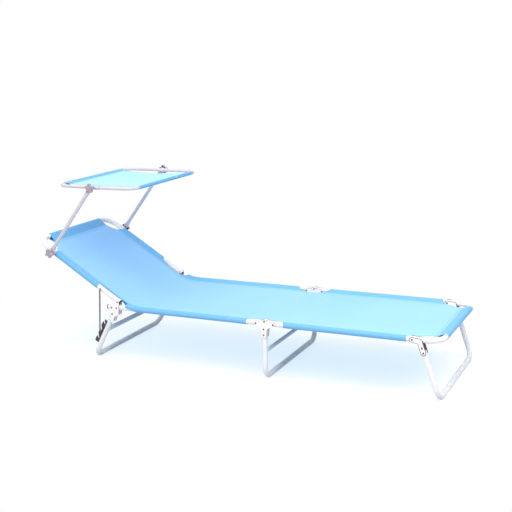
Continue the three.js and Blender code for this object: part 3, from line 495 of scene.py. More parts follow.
class Bench:
    """A material's node tree with one Principled shader."""

    def __init__(self, name: str) -> None:
        """Makes the material and its shader.

        Args:
            name: The material's name.
        """
        self.material = bpy.data.materials.new(name)
        self.material.use_nodes = True
        self.tree = self.material.node_tree
        self.shader = next(n for n in self.tree.nodes if n.type == "BSDF_PRINCIPLED")

    def node(
        self, kind: str, settings: dict | None = None, values: dict | None = None, out: int | str = 0
    ) -> Wire:
        """Adds a node.

        Args:
            kind: The node's type.
            settings: Its own properties, set first.
            values: What goes into each input socket, by name or number.
            out: The output to hand back.

        Returns:
            The wrapped output socket.
        """
        node = self.tree.nodes.new(kind)
        for key, value in (settings or {}).items():
            setattr(node, key, value)
        for key, value in (values or {}).items():
            if isinstance(value, Wire):
                self.tree.links.new(value.socket, node.inputs[key])
            else:
                node.inputs[key].default_value = value
        return Wire(self, node.outputs[out])

    def place(self) -> Wire:
        """The point on the object, in metres."""
        return self.node("ShaderNodeTexCoord", out="Object")

    def axes(self, vector: Wire) -> tuple[Wire, ...]:
        """A vector's three parts."""
        split = self.node("ShaderNodeSeparateXYZ", values={0: vector})
        return tuple(Wire(self, part) for part in split.socket.node.outputs)

    def noise(self, where: Wire, scale: float, detail: float = 3.0, rough: float = 0.5) -> Wire:
        """Noise of about 0 to 1 with features a metre / scale apart."""
        values = {"Vector": where, "Scale": scale, "Detail": detail, "Roughness": rough}
        return self.node("ShaderNodeTexNoise", None, values)

    def streaks(self, where: Wire, scales: Triple, detail: float) -> Wire:
        """Noise with a scale of its own along each axis."""
        mapped = self.node("ShaderNodeMapping", None, {"Vector": where, "Scale": scales})
        return self.noise(mapped, 1.0, detail)

    def mark(self, name: str) -> Wire:
        """A number that the mesh carries at each point."""
        return self.node("ShaderNodeAttribute", {"attribute_name": name}, out="Fac")

    def mix(self, share: Wire | float, a: "Wire | Colour", b: "Wire | Colour", kind: str = "MIX") -> Wire:
        """Mixes two colours.

        Args:
            share: The second one's share.
            a: The first colour.
            b: The second colour.
            kind: How they blend.

        Returns:
            The mixed colour.
        """
        first, second = (c if isinstance(c, Wire) else (*c, 1.0) for c in (a, b))
        settings = {"data_type": "RGBA", "blend_type": kind}
        return self.node("ShaderNodeMix", settings, {0: share, 6: first, 7: second}, out=2)

    def bump(self, height: Wire, strength: float, distance: float) -> Wire:
        """A bumped normal from a height of 0 to 1 that stands for the given distance."""
        values = {"Strength": strength, "Distance": distance, "Height": height}
        return self.node("ShaderNodeBump", None, values)

    def wear(self, **inputs: "Wire | float | Colour") -> Material:
        """Sets the shader's sockets.

        Args:
            **inputs: A wire, number or colour for each socket, its words joined by an underscore.

        Returns:
            The finished material.
        """
        for key, value in inputs.items():
            socket = self.shader.inputs[key.replace("_", " ")]
            if isinstance(value, Wire):
                self.tree.links.new(value.socket, socket)
            elif isinstance(value, tuple):
                socket.default_value = (*value, 1.0)[:len(socket.default_value)]
            else:
                socket.default_value = value
        return self.material


def srgb(red: int, green: int, blue: int) -> Colour:
    """A colour on the 0 to 255 display scale as the linear numbers that a shader takes."""
    c = np.array([red, green, blue]) / 255
    return tuple(np.where(c <= 0.04045, c / 12.92, ((c + 0.055) / 1.055) ** 2.4).tolist())


@dataclass(frozen=True)
class PowderCoat:
    """Gloss paint baked on steel: an orange-peel skin, faint clouding, dust low down and painted shade at the
    floor.
    """

    name: str
    colour: Colour
    shade: Colour
    rough: float = 0.3
    scuffed: bool = True
    dust: Colour = srgb(176, 172, 166)
    contact: Colour = srgb(96, 104, 112)
    dust_height: float = 0.05
    contact_height: tuple[float, float] = (0.009, 0.002)
    cloud_scale: float = 9.0
    peel_scale: float = 900.0
    grime_scale: float = 55.0
    scratch_scales: Triple = (160.0, 22.0, 160.0)
    relief: float = 0.00006

    def make(self) -> Material:
        """Makes the material: shades mixed by clouds, then dust by noise and height, then a painted shade at
        the floor.

        Returns:
            The material.
        """
        b = Bench(self.name)
        p = b.place()
        _, _, height = b.axes(p)
        cloud, peel = b.noise(p, self.cloud_scale), b.noise(p, self.peel_scale, 2.0)
        scratch = b.streaks(p, self.scratch_scales, 4.0)
        low = height.ramp(self.dust_height, 0.0) * 0.6 + 0.06 if self.scuffed else 0.06
        grime = b.noise(p, self.grime_scale, 5.0, 0.65).ramp(0.46, 0.72) * low
        colour = b.mix(cloud.ramp(0.3, 0.7) * 0.5, self.colour, self.shade)
        colour = b.mix(grime, colour, self.dust)
        # Painted shade: a dark band in the lowest few millimetres, where the tubes meet the floor.
        if self.scuffed:
            colour = b.mix(height.ramp(*self.contact_height) * 0.75, colour, self.contact)
        rough = cloud * 0.12 + scratch.ramp(0.55, 0.7) * 0.12 + (self.rough - 0.06) + grime * 0.3
        normal = b.bump(peel * 0.8 + scratch.ramp(0.6, 0.68) * 0.2, 0.25, self.relief)
        return b.wear(Base_Color=colour, Roughness=rough, Normal=normal, Specular_IOR_Level=0.25)


@dataclass(frozen=True)
class BareSteel:
    """Drawn or turned steel with fine lines and a dull skin."""

    name: str
    colour: Colour
    dark: Colour
    rough: float = 0.42
    metal: float = 0.75
    stain_scale: float = 70.0
    line_scales: Triple = (1500.0, 60.0, 60.0)
    relief: float = 0.00005

    def make(self) -> Material:
        """Makes the material: colour and roughness vary with stains, fine lines make its relief.

        Returns:
            The material.
        """
        b = Bench(self.name)
        p = b.place()
        lines = b.streaks(p, self.line_scales, 2.0)
        stain = b.noise(p, self.stain_scale, 5.0, 0.6)
        colour = b.mix(stain.ramp(0.42, 0.7), self.colour, self.dark)
        rough = stain * 0.2 + lines * 0.1 + (self.rough - 0.15)
        normal = b.bump(lines, 0.2, self.relief)
        return b.wear(Base_Color=colour, Roughness=rough, Normal=normal, Metallic=self.metal)


@dataclass(frozen=True)
class Moulding:
    """Moulded plastic with a fine grain, flow marks and a little fading."""

    name: str
    colour: Colour
    faded: Colour
    rough: float = 0.5
    grain_scale: float = 1400.0
    flow_scale: float = 45.0
    relief: float = 0.00008

    def make(self) -> Material:
        """Makes the material: flow marks vary colour and roughness, the grain makes its relief.

        Returns:
            The material.
        """
        b = Bench(self.name)
        p = b.place()
        grain = b.noise(p, self.grain_scale, 2.0)
        flow = b.noise(p, self.flow_scale, 4.0, 0.6)
        colour = b.mix(flow.ramp(0.35, 0.75), self.colour, self.faded)
        rough = flow * 0.2 + (self.rough - 0.1)
        return b.wear(Base_Color=colour, Roughness=rough, Normal=b.bump(grain, 0.35, self.relief))


@dataclass(frozen=True)
class Cloth:
    """Plain-woven cloth, a yarn each pitch across and along, deeper where double, partly as painted shade,
    with stitched seams.
    """

    name: str
    colour: Colour
    pale: Colour
    hem: Colour
    thread: Colour
    sheer: float = 0.0
    pitch: float = 0.0011
    stitch: float = 0.0042
    thread_edge: tuple[float, float] = (0.0009, 0.0005)
    pucker: float = 0.006
    cloud_scale: float = 3.2
    slub_scales: Triple = (26.0, 900.0, 900.0)
    scatter: float = 0.004
    relief: float = 0.0003

    def make(self) -> Material:
        """Makes the material.

        The weave is sin(across) sin(along) on the flat cut. Stitches are dashes along the mesh's seam mark,
        and its hem mark gives the share of the deeper colour: partly the double layer's own, partly painted
        shade.

        Returns:
            The material.
        """
        b = Bench(self.name)
        u, v, _ = b.axes(b.node("ShaderNodeUVMap", {"uv_map": "cut"}))
        p = b.place()
        turn = math.pi / self.pitch
        across, along = (u * turn).sin(), (v * turn).sin()
        weave = (across * along) * 0.5 + 0.5
        yarn = across.abs().maximum(along.abs())
        slub = b.streaks(p, self.slub_scales, 2.0)
        cloud = b.noise(p, self.cloud_scale, 3.0).ramp(0.3, 0.7)
        seam, run = b.mark("seam").abs(), b.mark("run")
        stitch = seam.ramp(*self.thread_edge) * (run / self.stitch).fract().ramp(0.22, 0.3)
        pucker = seam.ramp(self.pucker, 0.0) * ((run * (2 * math.pi / self.stitch)).sin() * 0.5 + 0.5)
        tone = 1 - weave * 0.06 - slub.ramp(0.4, 0.7) * 0.05
        grey = b.node("ShaderNodeCombineColor", None, {0: tone, 1: tone, 2: tone})
        colour = b.mix(cloud * 0.45, self.colour, self.pale)
        # The hem colour is partly the double layer's own blue and partly painted shade on the sleeves.
        colour = b.mix(b.mark("hem"), colour, self.hem)
        colour = b.mix(1.0, colour, grey, "MULTIPLY")
        colour = b.mix(stitch, colour, self.thread)
        height = yarn * 0.35 + weave * 0.15 + stitch * 0.5 - pucker * 0.25
        return b.wear(
            Base_Color=colour, Roughness=weave * 0.08 + (0.78 - stitch * 0.1),
            Normal=b.bump(height, 0.5, self.relief), Sheen_Weight=0.12, Sheen_Roughness=0.5,
            Subsurface_Weight=self.sheer, Subsurface_Scale=self.scatter, Subsurface_Radius=(1.0, 1.0, 1.0),
        )


class Finishes:
    """Every finish of the lounger, each material made once."""

    def __init__(self) -> None:
        """Makes the materials."""
        self.tube = PowderCoat("white_tube", srgb(236, 236, 240), srgb(224, 224, 230)).make()
        self.arm = PowderCoat("arm_tube", srgb(208, 204, 211), srgb(194, 190, 198), scuffed=False).make()
        # The cross bars' pale blue tint is painted shade from under the bed and a painted reflection of the
        # blue cloth above.
        self.cross = PowderCoat("cross_bar_paint", srgb(214, 224, 234), srgb(200, 211, 222)).make()
        self.plate = PowderCoat("plate_paint", srgb(248, 243, 246), srgb(240, 233, 238), 0.34, False).make()
        # The plates' dark rim and border are painted shade along their edges.
        self.rim = PowderCoat("plate_rim", srgb(88, 83, 89), srgb(72, 68, 74), 0.45, False).make()
        self.rivet = BareSteel("rivet_steel", srgb(104, 96, 102), srgb(72, 66, 70)).make()
        self.wire = BareSteel("stay_wire_steel", srgb(140, 137, 142), srgb(104, 102, 108)).make()
        self.rack = Moulding("rack_plastic", srgb(48, 47, 52), srgb(70, 69, 74)).make()
        self.black = Moulding("plug_plastic", srgb(30, 30, 34), srgb(46, 46, 52)).make()
        self.brown = Moulding("clamp_plastic", srgb(58, 52, 54), srgb(78, 71, 74)).make()
        self.knob = Moulding("knob_plastic", srgb(158, 146, 158), srgb(176, 164, 176), 0.45).make()
        # The third colour of each cloth, for its loops and hems, is partly the double layer's own and partly
        # painted shade.
        self.bed = Cloth(
            "back_cloth", srgb(147, 202, 252), srgb(159, 212, 253), srgb(112, 180, 229), srgb(196, 226, 246)
        ).make()
        self.hood = Cloth(
            "hood_cloth", srgb(156, 222, 248), srgb(168, 230, 250), srgb(104, 176, 232), srgb(206, 236, 250),
            sheer=0.6,
        ).make()


# ---- putting pieces into the scene


def add_piece(
    name: str,
    shape: Shape,
    body: str | tuple[str, str],
    finishes: Sequence[Material],
    replaces: Iterable[str] = (),
    crease: float = 35.0,
    cover: Callable[[bpy.types.Object], None] | None = None,
) -> bpy.types.Object:
    """Makes a piece of a shape, with its faces outwards, and lets it ride on its body.

    Args:
        name: The piece's name.
        shape: Its points and faces.
        body: The body that it rides on; given two bodies, it is attached to neither.
        finishes: Its materials, in the order that the shape's faces name them.
        replaces: The CAD nodes that it stands for.
        crease: The angle in degrees above which an edge stays sharp.
        cover: Adds what the mesh carries, before its doubles are merged.

    Returns:
        The new object.
    """
    mesh = bpy.data.meshes.new(name)
    mesh.from_pydata(shape.points.tolist(), [], shape.faces)
    for material in finishes:
        mesh.materials.append(material)
    mesh.polygons.foreach_set("material_index", np.array(shape.wear, np.int32))
    piece = bpy.data.objects.new(name, mesh)
    bpy.context.scene.collection.objects.link(piece)
    if cover:
        cover(piece)
    work = bmesh.new()
    work.from_mesh(mesh)
    bmesh.ops.remove_doubles(work, verts=work.verts, dist=MERGE)
    bmesh.ops.recalc_face_normals(work, faces=work.faces)
    work.to_mesh(mesh)
    work.free()
    mesh.shade_smooth()
    mesh.set_sharp_from_angle(angle=math.radians(crease))
    if isinstance(body, str):
        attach(piece, body)
    if replaces:
        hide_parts(*replaces)
    log.info("%s: %d faces", name, len(mesh.polygons))
    return piece


def dress(frame: dict, names: Iterable[str], material: Material) -> None:
    """Gives CAD nodes that stay their finish.

    Args:
        frame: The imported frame.
        names: The nodes.
        material: What they wear.
    """
    for name in names:
        mesh = frame["nodes"][name].data
        mesh.materials.clear()
        mesh.materials.append(material)
        log.info("%s keeps its solid", name)


# ---- the lounger's sizes, as the solids have them


@dataclass(frozen=True)
class Sizes:
    """The sizes that several sub-assemblies share, in metres and radians."""

    shift: float = 0.184348
    rail_height: float = 0.2392
    side: float = 0.283
    radius: float = 0.011
    wall: float = 0.0012
    seat: float = 0.651
    pitch: float = 0.075
    foot: float = 0.681
    back_rise: float = 0.0268
    back_angle: float = math.radians(31.6)
    back: float = 0.468
    leg_setback: float = 0.028
    leg_drop: float = 0.0292
    head_lean: float = math.radians(27.4)
    foot_lean: float = math.radians(18.6)
    foot_offset: float = 0.028
    foot_inset: float = 0.110
    leg_corner: float = 0.042
    mid_shift: float = -0.003
    stay_reach: float = 0.098
    clamp_reach: float = 0.375
    arm: float = 0.371
    arm_angle: float = math.radians(52.9)
    hood_rear: float = 0.179
    hood_front: float = 0.193
    sides: int = 36
    bend: int = 14
    solid_sides: int = 12

    @property
    def pivot_a(self) -> float:
        """The seat rails' pivot at the middle leg."""
        return -self.pitch / 2

    @property
    def back_pivot(self) -> float:
        """The backrest's pivot along the seat."""
        return self.pivot_a - self.seat

    @property
    def foot_bar(self) -> float:
        """The end bar along the seat."""
        return self.pitch / 2 + self.foot

    @property
    def seat_place(self) -> Place:
        """The seat frame: X from midway between the middle pivots, Z from the rails' axes."""
        return Place(self.shift, self.rail_height, 0.0)

    @property
    def back_place(self) -> Place:
        """The backrest's frame at its pivot, its -X up the back."""
        return self.seat_place.within(self.back_pivot, self.back_rise, self.back_angle)

    @property
    def head_place(self) -> Place:
        """The head leg's frame at its pivot, its -Z down the leg."""
        return self.seat_place.within(self.back_pivot - self.leg_setback, -self.leg_drop, self.head_lean)

    @property
    def foot_leg_place(self) -> Place:
        """The foot leg's frame at its pivot."""
        return self.seat_place.within(self.foot_bar - self.foot_inset, 0.0, -self.foot_lean)

    @property
    def clamp_place(self) -> Place:
        """The backrest's frame moved to the canopy clamps."""
        return self.back_place.within(-self.clamp_reach, 0.0)

    @property
    def arm_place(self) -> Place:
        """The arms' frame at their lower pivot, its +X along them."""
        return self.back_place.within(-self.clamp_reach, 0.0, -self.arm_angle - self.back_angle)

    @property
    def hood_place(self) -> Place:
        """The hood's frame at the arms' upper pivot, level."""
        return self.arm_place.within(self.arm, 0.0, self.arm_angle)

    @property
    def floor_rise(self) -> float:
        """How high a floor bar's axis lies, where the solid's many-sided tube rests on a flat side."""
        return self.radius * math.cos(math.pi / self.solid_sides)


S = Sizes()


@dataclass
class Rivets:
    """Rivet heads on a plate: a flat skirt under a shallow dome with a small dimple."""

    radius: float = 0.0040
    height: float = 0.0021
    sunk: float = 0.0008
    dimple: float = 0.0009
    dimple_depth: float = 0.0004
    sides: int = 18
    steps: int = 5

    def on(self, places: Iterable[tuple[float, float]], face: float, towards: int) -> Shape:
        """Heads on a plate's face: the dome's profile is (R cos q, h sin q).

        Args:
            places: The heads' middles (x, z).
            face: The y of the plate's face.
            towards: 1 for domes towards +Y, -1 for -Y.

        Returns:
            The heads, in the plate's second finish.
        """
        profile = [(0.0, -self.sunk), (self.radius, -self.sunk)]
        dome = np.linspace(0, np.pi / 2, self.steps + 1)[:-1]
        profile += [(self.radius * math.cos(a), self.height * math.sin(a)) for a in dome]
        profile += [(self.dimple, self.height), (0.0, self.height - self.dimple_depth)]
        heads = [turned([(r, face + towards * y) for r, y in profile], self.sides, x, z) for x, z in places]
        return sum(heads[1:], heads[0]).worn(Coat.SECOND)


@dataclass
class HingePlates:
    """A pair of pressed plates that grips both sides of the tubes, riveted through."""

    name: str
    outline: Array
    rivets: list[tuple[float, float]]
    place: Place
    body: str
    # The width of the dark border on both faces: painted shade along the plate's edge.
    band: float = 0.0
    thickness: float = 0.002
    edge: float = 0.0007
    crease: float = 40.0

    def build(self, finish: Finishes) -> None:
        """Adds the outer and inner plates of both sides.

        Args:
            finish: The finishes.
        """
        shapes = {}
        for word, towards in (("outer", 1), ("inner", -1)):
            near = S.side + towards * (S.radius + GAP)
            far = near + towards * self.thickness
            start, end = sorted((near, far))
            # The rim and its border wear the dark finish: painted shade along the plate's edges.
            plate = slab(self.outline, start, end, self.edge, band=self.band, rim=Coat.THIRD)
            shapes[word] = plate + Rivets().on(self.rivets, far, towards)
        for side in Side:
            for word, shape in shapes.items():
                node = f"{self.name}_{word}_{side.word}"
                add_piece(
                    f"{node}_pressing", shape.at(self.place, side), self.body,
                    [finish.plate, finish.rivet, finish.rim], [node], self.crease,
                )


# ---- seat frame, legs, backrest frame


@dataclass
class RailEnd:
    """How a rail's end at the middle hinge is cut: upright below, round its pivot above."""

    pivot: float
    towards: int

    def trim(self, shape: Shape, face: float) -> Shape:
        """Draws the end ring back round the pivot, to x = pivot + sqrt(reach^2 - z^2) above the axis.

        Args:
            shape: The tube.
            face: The x of its end.

        Returns:
            The trimmed tube.
        """
        points = shape.points.copy()
        at_end = np.abs(points[:, 0] - face) < 1e-6
        rise = np.clip(points[at_end, 2], 0, None)
        points[at_end, 0] = self.pivot + self.towards * np.sqrt(abs(face - self.pivot) ** 2 - rise**2)
        return Shape(points, shape.faces, shape.wear)


@dataclass
class Plug:
    """A black end plug: a flange with a soft edge and a dished face, and a stub inside the tube."""

    flange: float = 0.0042
    edge: float = 0.001
    depth: float = 0.016
    play: float = 0.0008
    tip_inset: float = 0.0008
    tip_length: float = 0.0015
    dish_rim: float = 0.005
    dish: float = 0.0044
    dish_depth: float = 0.0007
    steps: int = 4

    def shape(self, end: float, towards: int) -> Shape:
        """A plug in the end of a tube along X.

        Args:
            end: The x of the tube's end.
            towards: 1 where the flange stands off it towards +X, -1 for -X.

        Returns:
            The plug.
        """
        stub, floor = S.radius - S.wall - self.play, self.flange - self.dish_depth
        profile = [(0.0, -self.depth), (stub - self.tip_inset, -self.depth)]
        profile += [(stub, self.tip_length - self.depth), (stub, GAP), (S.radius, GAP)]
        for a in np.linspace(0, np.pi / 2, self.steps + 1):
            inset_by, lowered_by = self.edge * (1 - math.cos(a)), self.edge * (1 - math.sin(a))
            profile.append((S.radius - inset_by, self.flange - lowered_by))
        profile += [(self.dish_rim, self.flange), (self.dish, floor), (0.0, floor)]
        return spun([(r, end + towards * x) for r, x in profile], S.sides, S.side)


@dataclass
class SeatFrame:
    """The two seat rails with their plugs and the plates of the head hinge."""

    overhang: float = 0.050
    boss: float = 0.010
    heel: float = 0.013
    shoulder: float = 0.012
    shoulder_round: float = 0.010
    tail: float = 0.036
    tail_front: float = 0.003
    neck: Triple = (0.012, -0.040, 0.016)
    toe_inset: float = 0.005
    toe_drop: float = 0.031
    corner: float = 0.006
    rail_rivet: float = 0.0295
    toe_rivet: float = 0.005

    def plate_outline(self) -> Array:
        """Draws the head plate: a lobe at the back's pivot, a shoulder over the leg, a toe under the rail.

        Returns:
            The outline (x, z).
        """
        b, l = S.back_pivot, S.back_pivot - S.leg_setback
        lobe, tail = S.back_rise + self.boss, -S.leg_drop - self.tail
        neck_x, neck_z, neck_round = self.neck
        return filleted([
            (b + self.boss, lobe, self.boss), (b - self.boss, lobe, self.boss),
            (l - self.heel, self.shoulder, self.shoulder_round), (l - self.heel, tail, self.corner),
            (l + self.tail_front, tail, self.corner), (l + neck_x, neck_z, neck_round),
            (b + self.boss - self.toe_inset, -self.toe_drop, self.corner),
        ])

    def build(self, finish: Finishes) -> None:
        """Adds the rails, plugs and plates.

        Args:
            finish: The finishes.
        """
        start, face = S.back_pivot - self.overhang, S.mid_shift - S.radius - GAP
        path = bent_path([(start, S.side, 0), (face, S.side, 0)], [], 1)
        rail = RailEnd(S.pivot_a, 1).trim(tube(path, (0, 0, 1), S.radius, S.wall, S.sides), face)
        plug = Plug().shape(start, -1)
        for side in Side:
            node, place = f"seat_rail_{side.word}", S.seat_place
            add_piece(f"{node}_tube", rail.at(place, side), "seat_frame", [finish.tube], [node])
            node, cap = f"seat_rail_plug_{side.word}", plug.at(place, side)
            add_piece(f"{node}_moulding", cap, "seat_frame", [finish.black], [node])
        b, l = S.back_pivot, S.back_pivot - S.leg_setback
        rivets = [(b - self.rail_rivet, 0.0), (b - self.toe_rivet, 0.0), (b, S.back_rise), (l, -S.leg_drop)]
        HingePlates("head_plate", self.plate_outline(), rivets, S.seat_place, "seat_frame").build(finish)


@dataclass
class LegLoop:
    """A leg: one tube bent to a U, and the cross bar between its sides."""

    name: str
    place: Place
    top: float
    length: float
    x: float = 0.0
    cross: float | None = None
    bar: float = 0.008
    bar_sides: int = 32
    bead: Profile = ((0.0, 0.0), (0.0011, 0.0008), (0.0011, 0.0022), (0.0, 0.0036))

    def build(self, finish: Finishes) -> None:
        """Adds the tube, flat where it rests on the floor, and the cross bar where there is one.

        Args:
            finish: The finishes.
        """
        corners = mirrored([(self.x, S.side, -self.length), (self.x, S.side, self.top)])
        path = bent_path(corners, [S.leg_corner] * 2, S.bend)
        shape = tube(path, (1, 0, 0), S.radius, S.wall, S.sides).at(self.place)
        shape.points[:, 2] = np.maximum(shape.points[:, 2], 0)
        add_piece(f"{self.name}_loop", shape, self.name, [finish.tube], [f"{self.name}_tube"])
        if self.cross is not None:
            bar, node = self.cross_bar().at(self.place), f"{self.name}_crossbar"
            add_piece(f"{self.name}_cross_tube", bar, self.name, [finish.cross], [node])

    def bar_ring(self, side: int, radius: float, swell: float, back: float) -> Array:
        """A ring of the cross bar, whose end fits the leg's round of radius R.

        The point at angle q lies at y = side (S - sqrt(R^2 - (r cos q)^2) - back).

        Args:
            side: 1 for the left end, -1 for the right one.
            radius: The ring's radius r.
            swell: What a weld bead adds to it.
            back: How far the ring stands off the leg.

        Returns:
            The ring's points, of shape (bar_sides, 3).
        """
        q = around(self.bar_sides)
        reach = S.side - np.sqrt((S.radius + GAP) ** 2 - (radius * np.cos(q)) ** 2) - back
        r = radius + swell
        return np.stack([self.x + r * np.cos(q), side * reach, r * np.sin(q) - self.cross], -1)

    def cross_bar(self) -> Shape:
        """Draws the cross bar: rings out along its outside, a bead at each end, and back along its bore.

        Returns:
            The cross bar.
        """
        outer = [(-1, self.bar, *b) for b in self.bead] + [(1, self.bar, *b) for b in reversed(self.bead)]
        inner = [(side, self.bar - S.wall, 0.0, 0.0) for side in (1, -1)]
        return grid_shape(np.stack([self.bar_ring(*row) for row in outer + inner]), wrap_rows=True)


@dataclass
class Rack:
    """A toothed rack: three seats that open upwards behind hooked lips."""

    thickness: float = 0.007
    width: float = 0.0305
    seat: float = 0.020
    middle: float = 0.105
    pitch: float = 0.038
    top: float = 0.050
    bottom: float = 0.162
    root: float = 0.006
    tip: float = 0.0012
    slot: float = 0.0038
    slot_steps: int = 12
    corner: float = 0.003
    edge: float = 0.0005
    margin: float = 0.001
    lip: float = math.radians(41)
    roof: float = math.radians(32)
    crease: float = 30.0

    def outline(self) -> Array:
        """Draws the rack on the leg: t outwards becomes -x and s down the leg becomes -z.

        Each seat is an arc round (t, s) between the roof's line above it and the lip's line below it.

        Returns:
            The outline (x, z).
        """
        lip = np.array([math.sin(self.lip), -math.cos(self.lip)])
        roof = np.array([math.sin(self.roof), -math.cos(self.roof)])
        points = [[(self.root, self.bottom), (self.root, self.top)]]
        for i in (-1, 0, 1):
            s, t = self.middle + i * self.pitch, self.seat
            begin = np.array([t + self.slot * roof[1], s - self.slot * roof[0]])
            run = min((self.width - begin[0]) / roof[0], (begin[1] - self.top) / -roof[1])
            start = math.atan2(-roof[0], roof[1])
            sweep = (math.atan2(lip[0], -lip[1]) - start + 2 * math.pi) % (2 * math.pi) - 2 * math.pi
            q = start + np.linspace(0, sweep, self.slot_steps + 1)
            hollow = np.array([t, s]) + self.slot * np.stack([np.cos(q), np.sin(q)], -1)
            out = np.array([t - self.slot * lip[1], s + self.slot * lip[0]])
            tip = out + lip * (self.width - out[0] - self.tip) / lip[0]
            points += [[begin + run * roof], hollow, [tip, (self.width, tip[1] + self.tip)]]
        points.append([(self.width, self.bottom - self.corner), (self.width - self.corner, self.bottom)])
        return -np.concatenate([np.asarray(p, float) for p in points])

    def build(self, finish: Finishes) -> None:
        """Adds both racks, each drawn over the leg's round at its root.

        Args:
            finish: The finishes.
        """
        half = self.thickness / 2
        shape = slab(self.outline(), S.side - half, S.side + half, self.edge, steps=2)
        x, y = shape.points[:, 0], shape.points[:, 1]
        leg = -np.sqrt((S.radius + GAP) ** 2 - (y - S.side) ** 2)
        shape.points[:, 0] = np.where(x > -self.root - self.margin, np.minimum(x, leg), x)
        for side in Side:
            node, comb = f"head_leg_rack_{side.word}", shape.at(S.head_place, side)
            add_piece(f"{node}_comb", comb, "head_leg", [finish.rack], [node], self.crease)


@dataclass
class Legs:
    """The three legs with their racks, plates and caps."""

    head_top: float = 0.009
    head_cross: float = 0.090
    mid_top: float = 0.005
    mid_cross: float = 0.119
    foot_top: float = 0.0045
    lobe: float = 0.010
    lobe_round: float = 0.008
    brow: float = 0.011
    bump: Profile = ((0.013, 0.011), (0.006, 0.016))
    bump_round: float = 0.004
    chin: float = 0.003
    chin_round: float = 0.006
    stem: tuple[Triple, Triple] = ((0.015, -0.021, 0.012), (0.012, -0.060, 0.009))
    stem_rivets: tuple[float, float] = (-0.023, -0.048)
    pin_rise: float = 0.0096
    # The plates' border widths: how far the painted shade reaches in from their edges.
    mid_band: float = 0.0008
    crank_half: float = 0.011
    crank_drop: float = 0.012
    crank_end: float = 0.060
    crank_rivet: float = 0.040
    crank_inner: float = 0.0055
    crank_outer: float = 0.012
    foot_band: float = 0.0024

    def mid_outline(self) -> Array:
        """Draws the Y-shaped middle plate, with a bump over its spacer pin and its stem round the leg.

        Returns:
            The outline (x, z).
        """
        wide, x = S.pitch / 2 + self.lobe, S.mid_shift
        brow = [(wide, self.brow, self.lobe_round)] + [(b, z, self.bump_round) for b, z in self.bump]
        left = [(x - half, z, r) for half, z, r in self.stem]
        right = [(x + half, z, r) for half, z, r in reversed(self.stem)]
        chin = (-self.chin, self.chin_round)
        over = brow + [(-b, z, r) for b, z, r in reversed(brow)]
        return filleted([*over, (-wide, *chin), *left, *right, (wide, *chin)])

    @staticmethod
    def beside(point: Array, along: Array, forward: float, across: float, radius: float) -> Triple:
        """A corner's x, z and radius, set off from a point along a direction and to its left."""
        x, z = point + along * forward + np.array([-along[1], along[0]]) * across
        return float(x), float(z), radius

    def foot_outline(self) -> Array:
        """Draws the cranked foot plate: a band of constant width along a bent line, with round ends.

        Returns:
            The outline (x, z).
        """
        half = self.crank_half
        line = np.array([(0.0, 0.0), (S.foot_offset, -self.crank_drop), (S.foot_offset, -self.crank_end)])
        out, down = line[1] - line[0], line[2] - line[1]
        out, down = out / np.linalg.norm(out), down / np.linalg.norm(down)
        mitre = np.array([-out[1] - down[1], out[0] + down[0]])
        mitre *= half / math.cos(math.acos(float(out @ down)) / 2) / np.linalg.norm(mitre)
        end = half - 1e-6
        return filleted([
            self.beside(line[0], out, -half, half, end), self.beside(line[0], out, -half, -half, end),
            (*(line[1] - mitre), self.crank_inner), self.beside(line[2], down, half, -half, end),
            self.beside(line[2], down, half, half, end), (*(line[1] + mitre), self.crank_outer),
        ])

    def build(self, frame: dict, finish: Finishes) -> None:
        """Adds the legs, racks and plates, and dresses the CAD nodes that stay.

        Args:
            frame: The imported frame.
            finish: The finishes.
        """
        head = (S.rail_height - S.leg_drop - S.floor_rise) / math.cos(S.head_lean)
        LegLoop("head_leg", S.head_place, self.head_top, head, cross=self.head_cross).build(finish)
        middle = S.rail_height - S.floor_rise
        LegLoop("mid_leg", S.seat_place, self.mid_top, middle, S.mid_shift, self.mid_cross).build(finish)
        rise = S.rail_height + S.foot_offset * math.sin(S.foot_lean)
        foot = (rise - S.floor_rise) / math.cos(S.foot_lean)
        top = -(S.radius + self.foot_top) / math.cos(S.foot_lean) - S.foot_offset * math.tan(S.foot_lean)
        LegLoop("foot_leg", S.foot_leg_place, top, foot, S.foot_offset).build(finish)
        Rack().build(finish)
        rivets = [(S.pivot_a, 0.0), (S.pitch / 2, 0.0), *((S.mid_shift, z) for z in self.stem_rivets)]
        rivets.append((0.0, self.pin_rise))
        outline, place = self.mid_outline(), S.seat_place
        HingePlates("mid_plate", outline, rivets, place, "mid_leg", self.mid_band).build(finish)
        rivets = [(0.0, 0.0), (S.foot_offset, -self.crank_rivet), (S.foot_offset, -self.crank_end)]
        outline, place = self.foot_outline(), S.foot_leg_place
        HingePlates("foot_plate", outline, rivets, place, "foot_leg", self.foot_band).build(finish)
        dress(frame, [f"mid_spacer_pin_{s.word}" for s in Side], finish.plate)
        dress(frame, [f"{n}_{s.word}" for n in ("head_leg_plug", "foot_leg_cap") for s in Side], finish.black)


@dataclass
class FootFrame:
    """The U-bent tube of the foot section."""

    corner: float = 0.060

    def build(self, finish: Finishes) -> None:
        """Adds the tube.

        Args:
            finish: The finishes.
        """
        face = S.mid_shift + S.radius + GAP
        path = bent_path(mirrored([(S.foot_bar, S.side, 0), (face, S.side, 0)]), [self.corner] * 2, S.bend)
        shape = RailEnd(S.pitch / 2, -1).trim(tube(path, (0, 0, 1), S.radius, S.wall, S.sides), face)
        shape, node = shape.at(S.seat_place), "foot_frame_tube"
        add_piece("foot_frame_loop", shape, "foot_section", [finish.tube], [node])


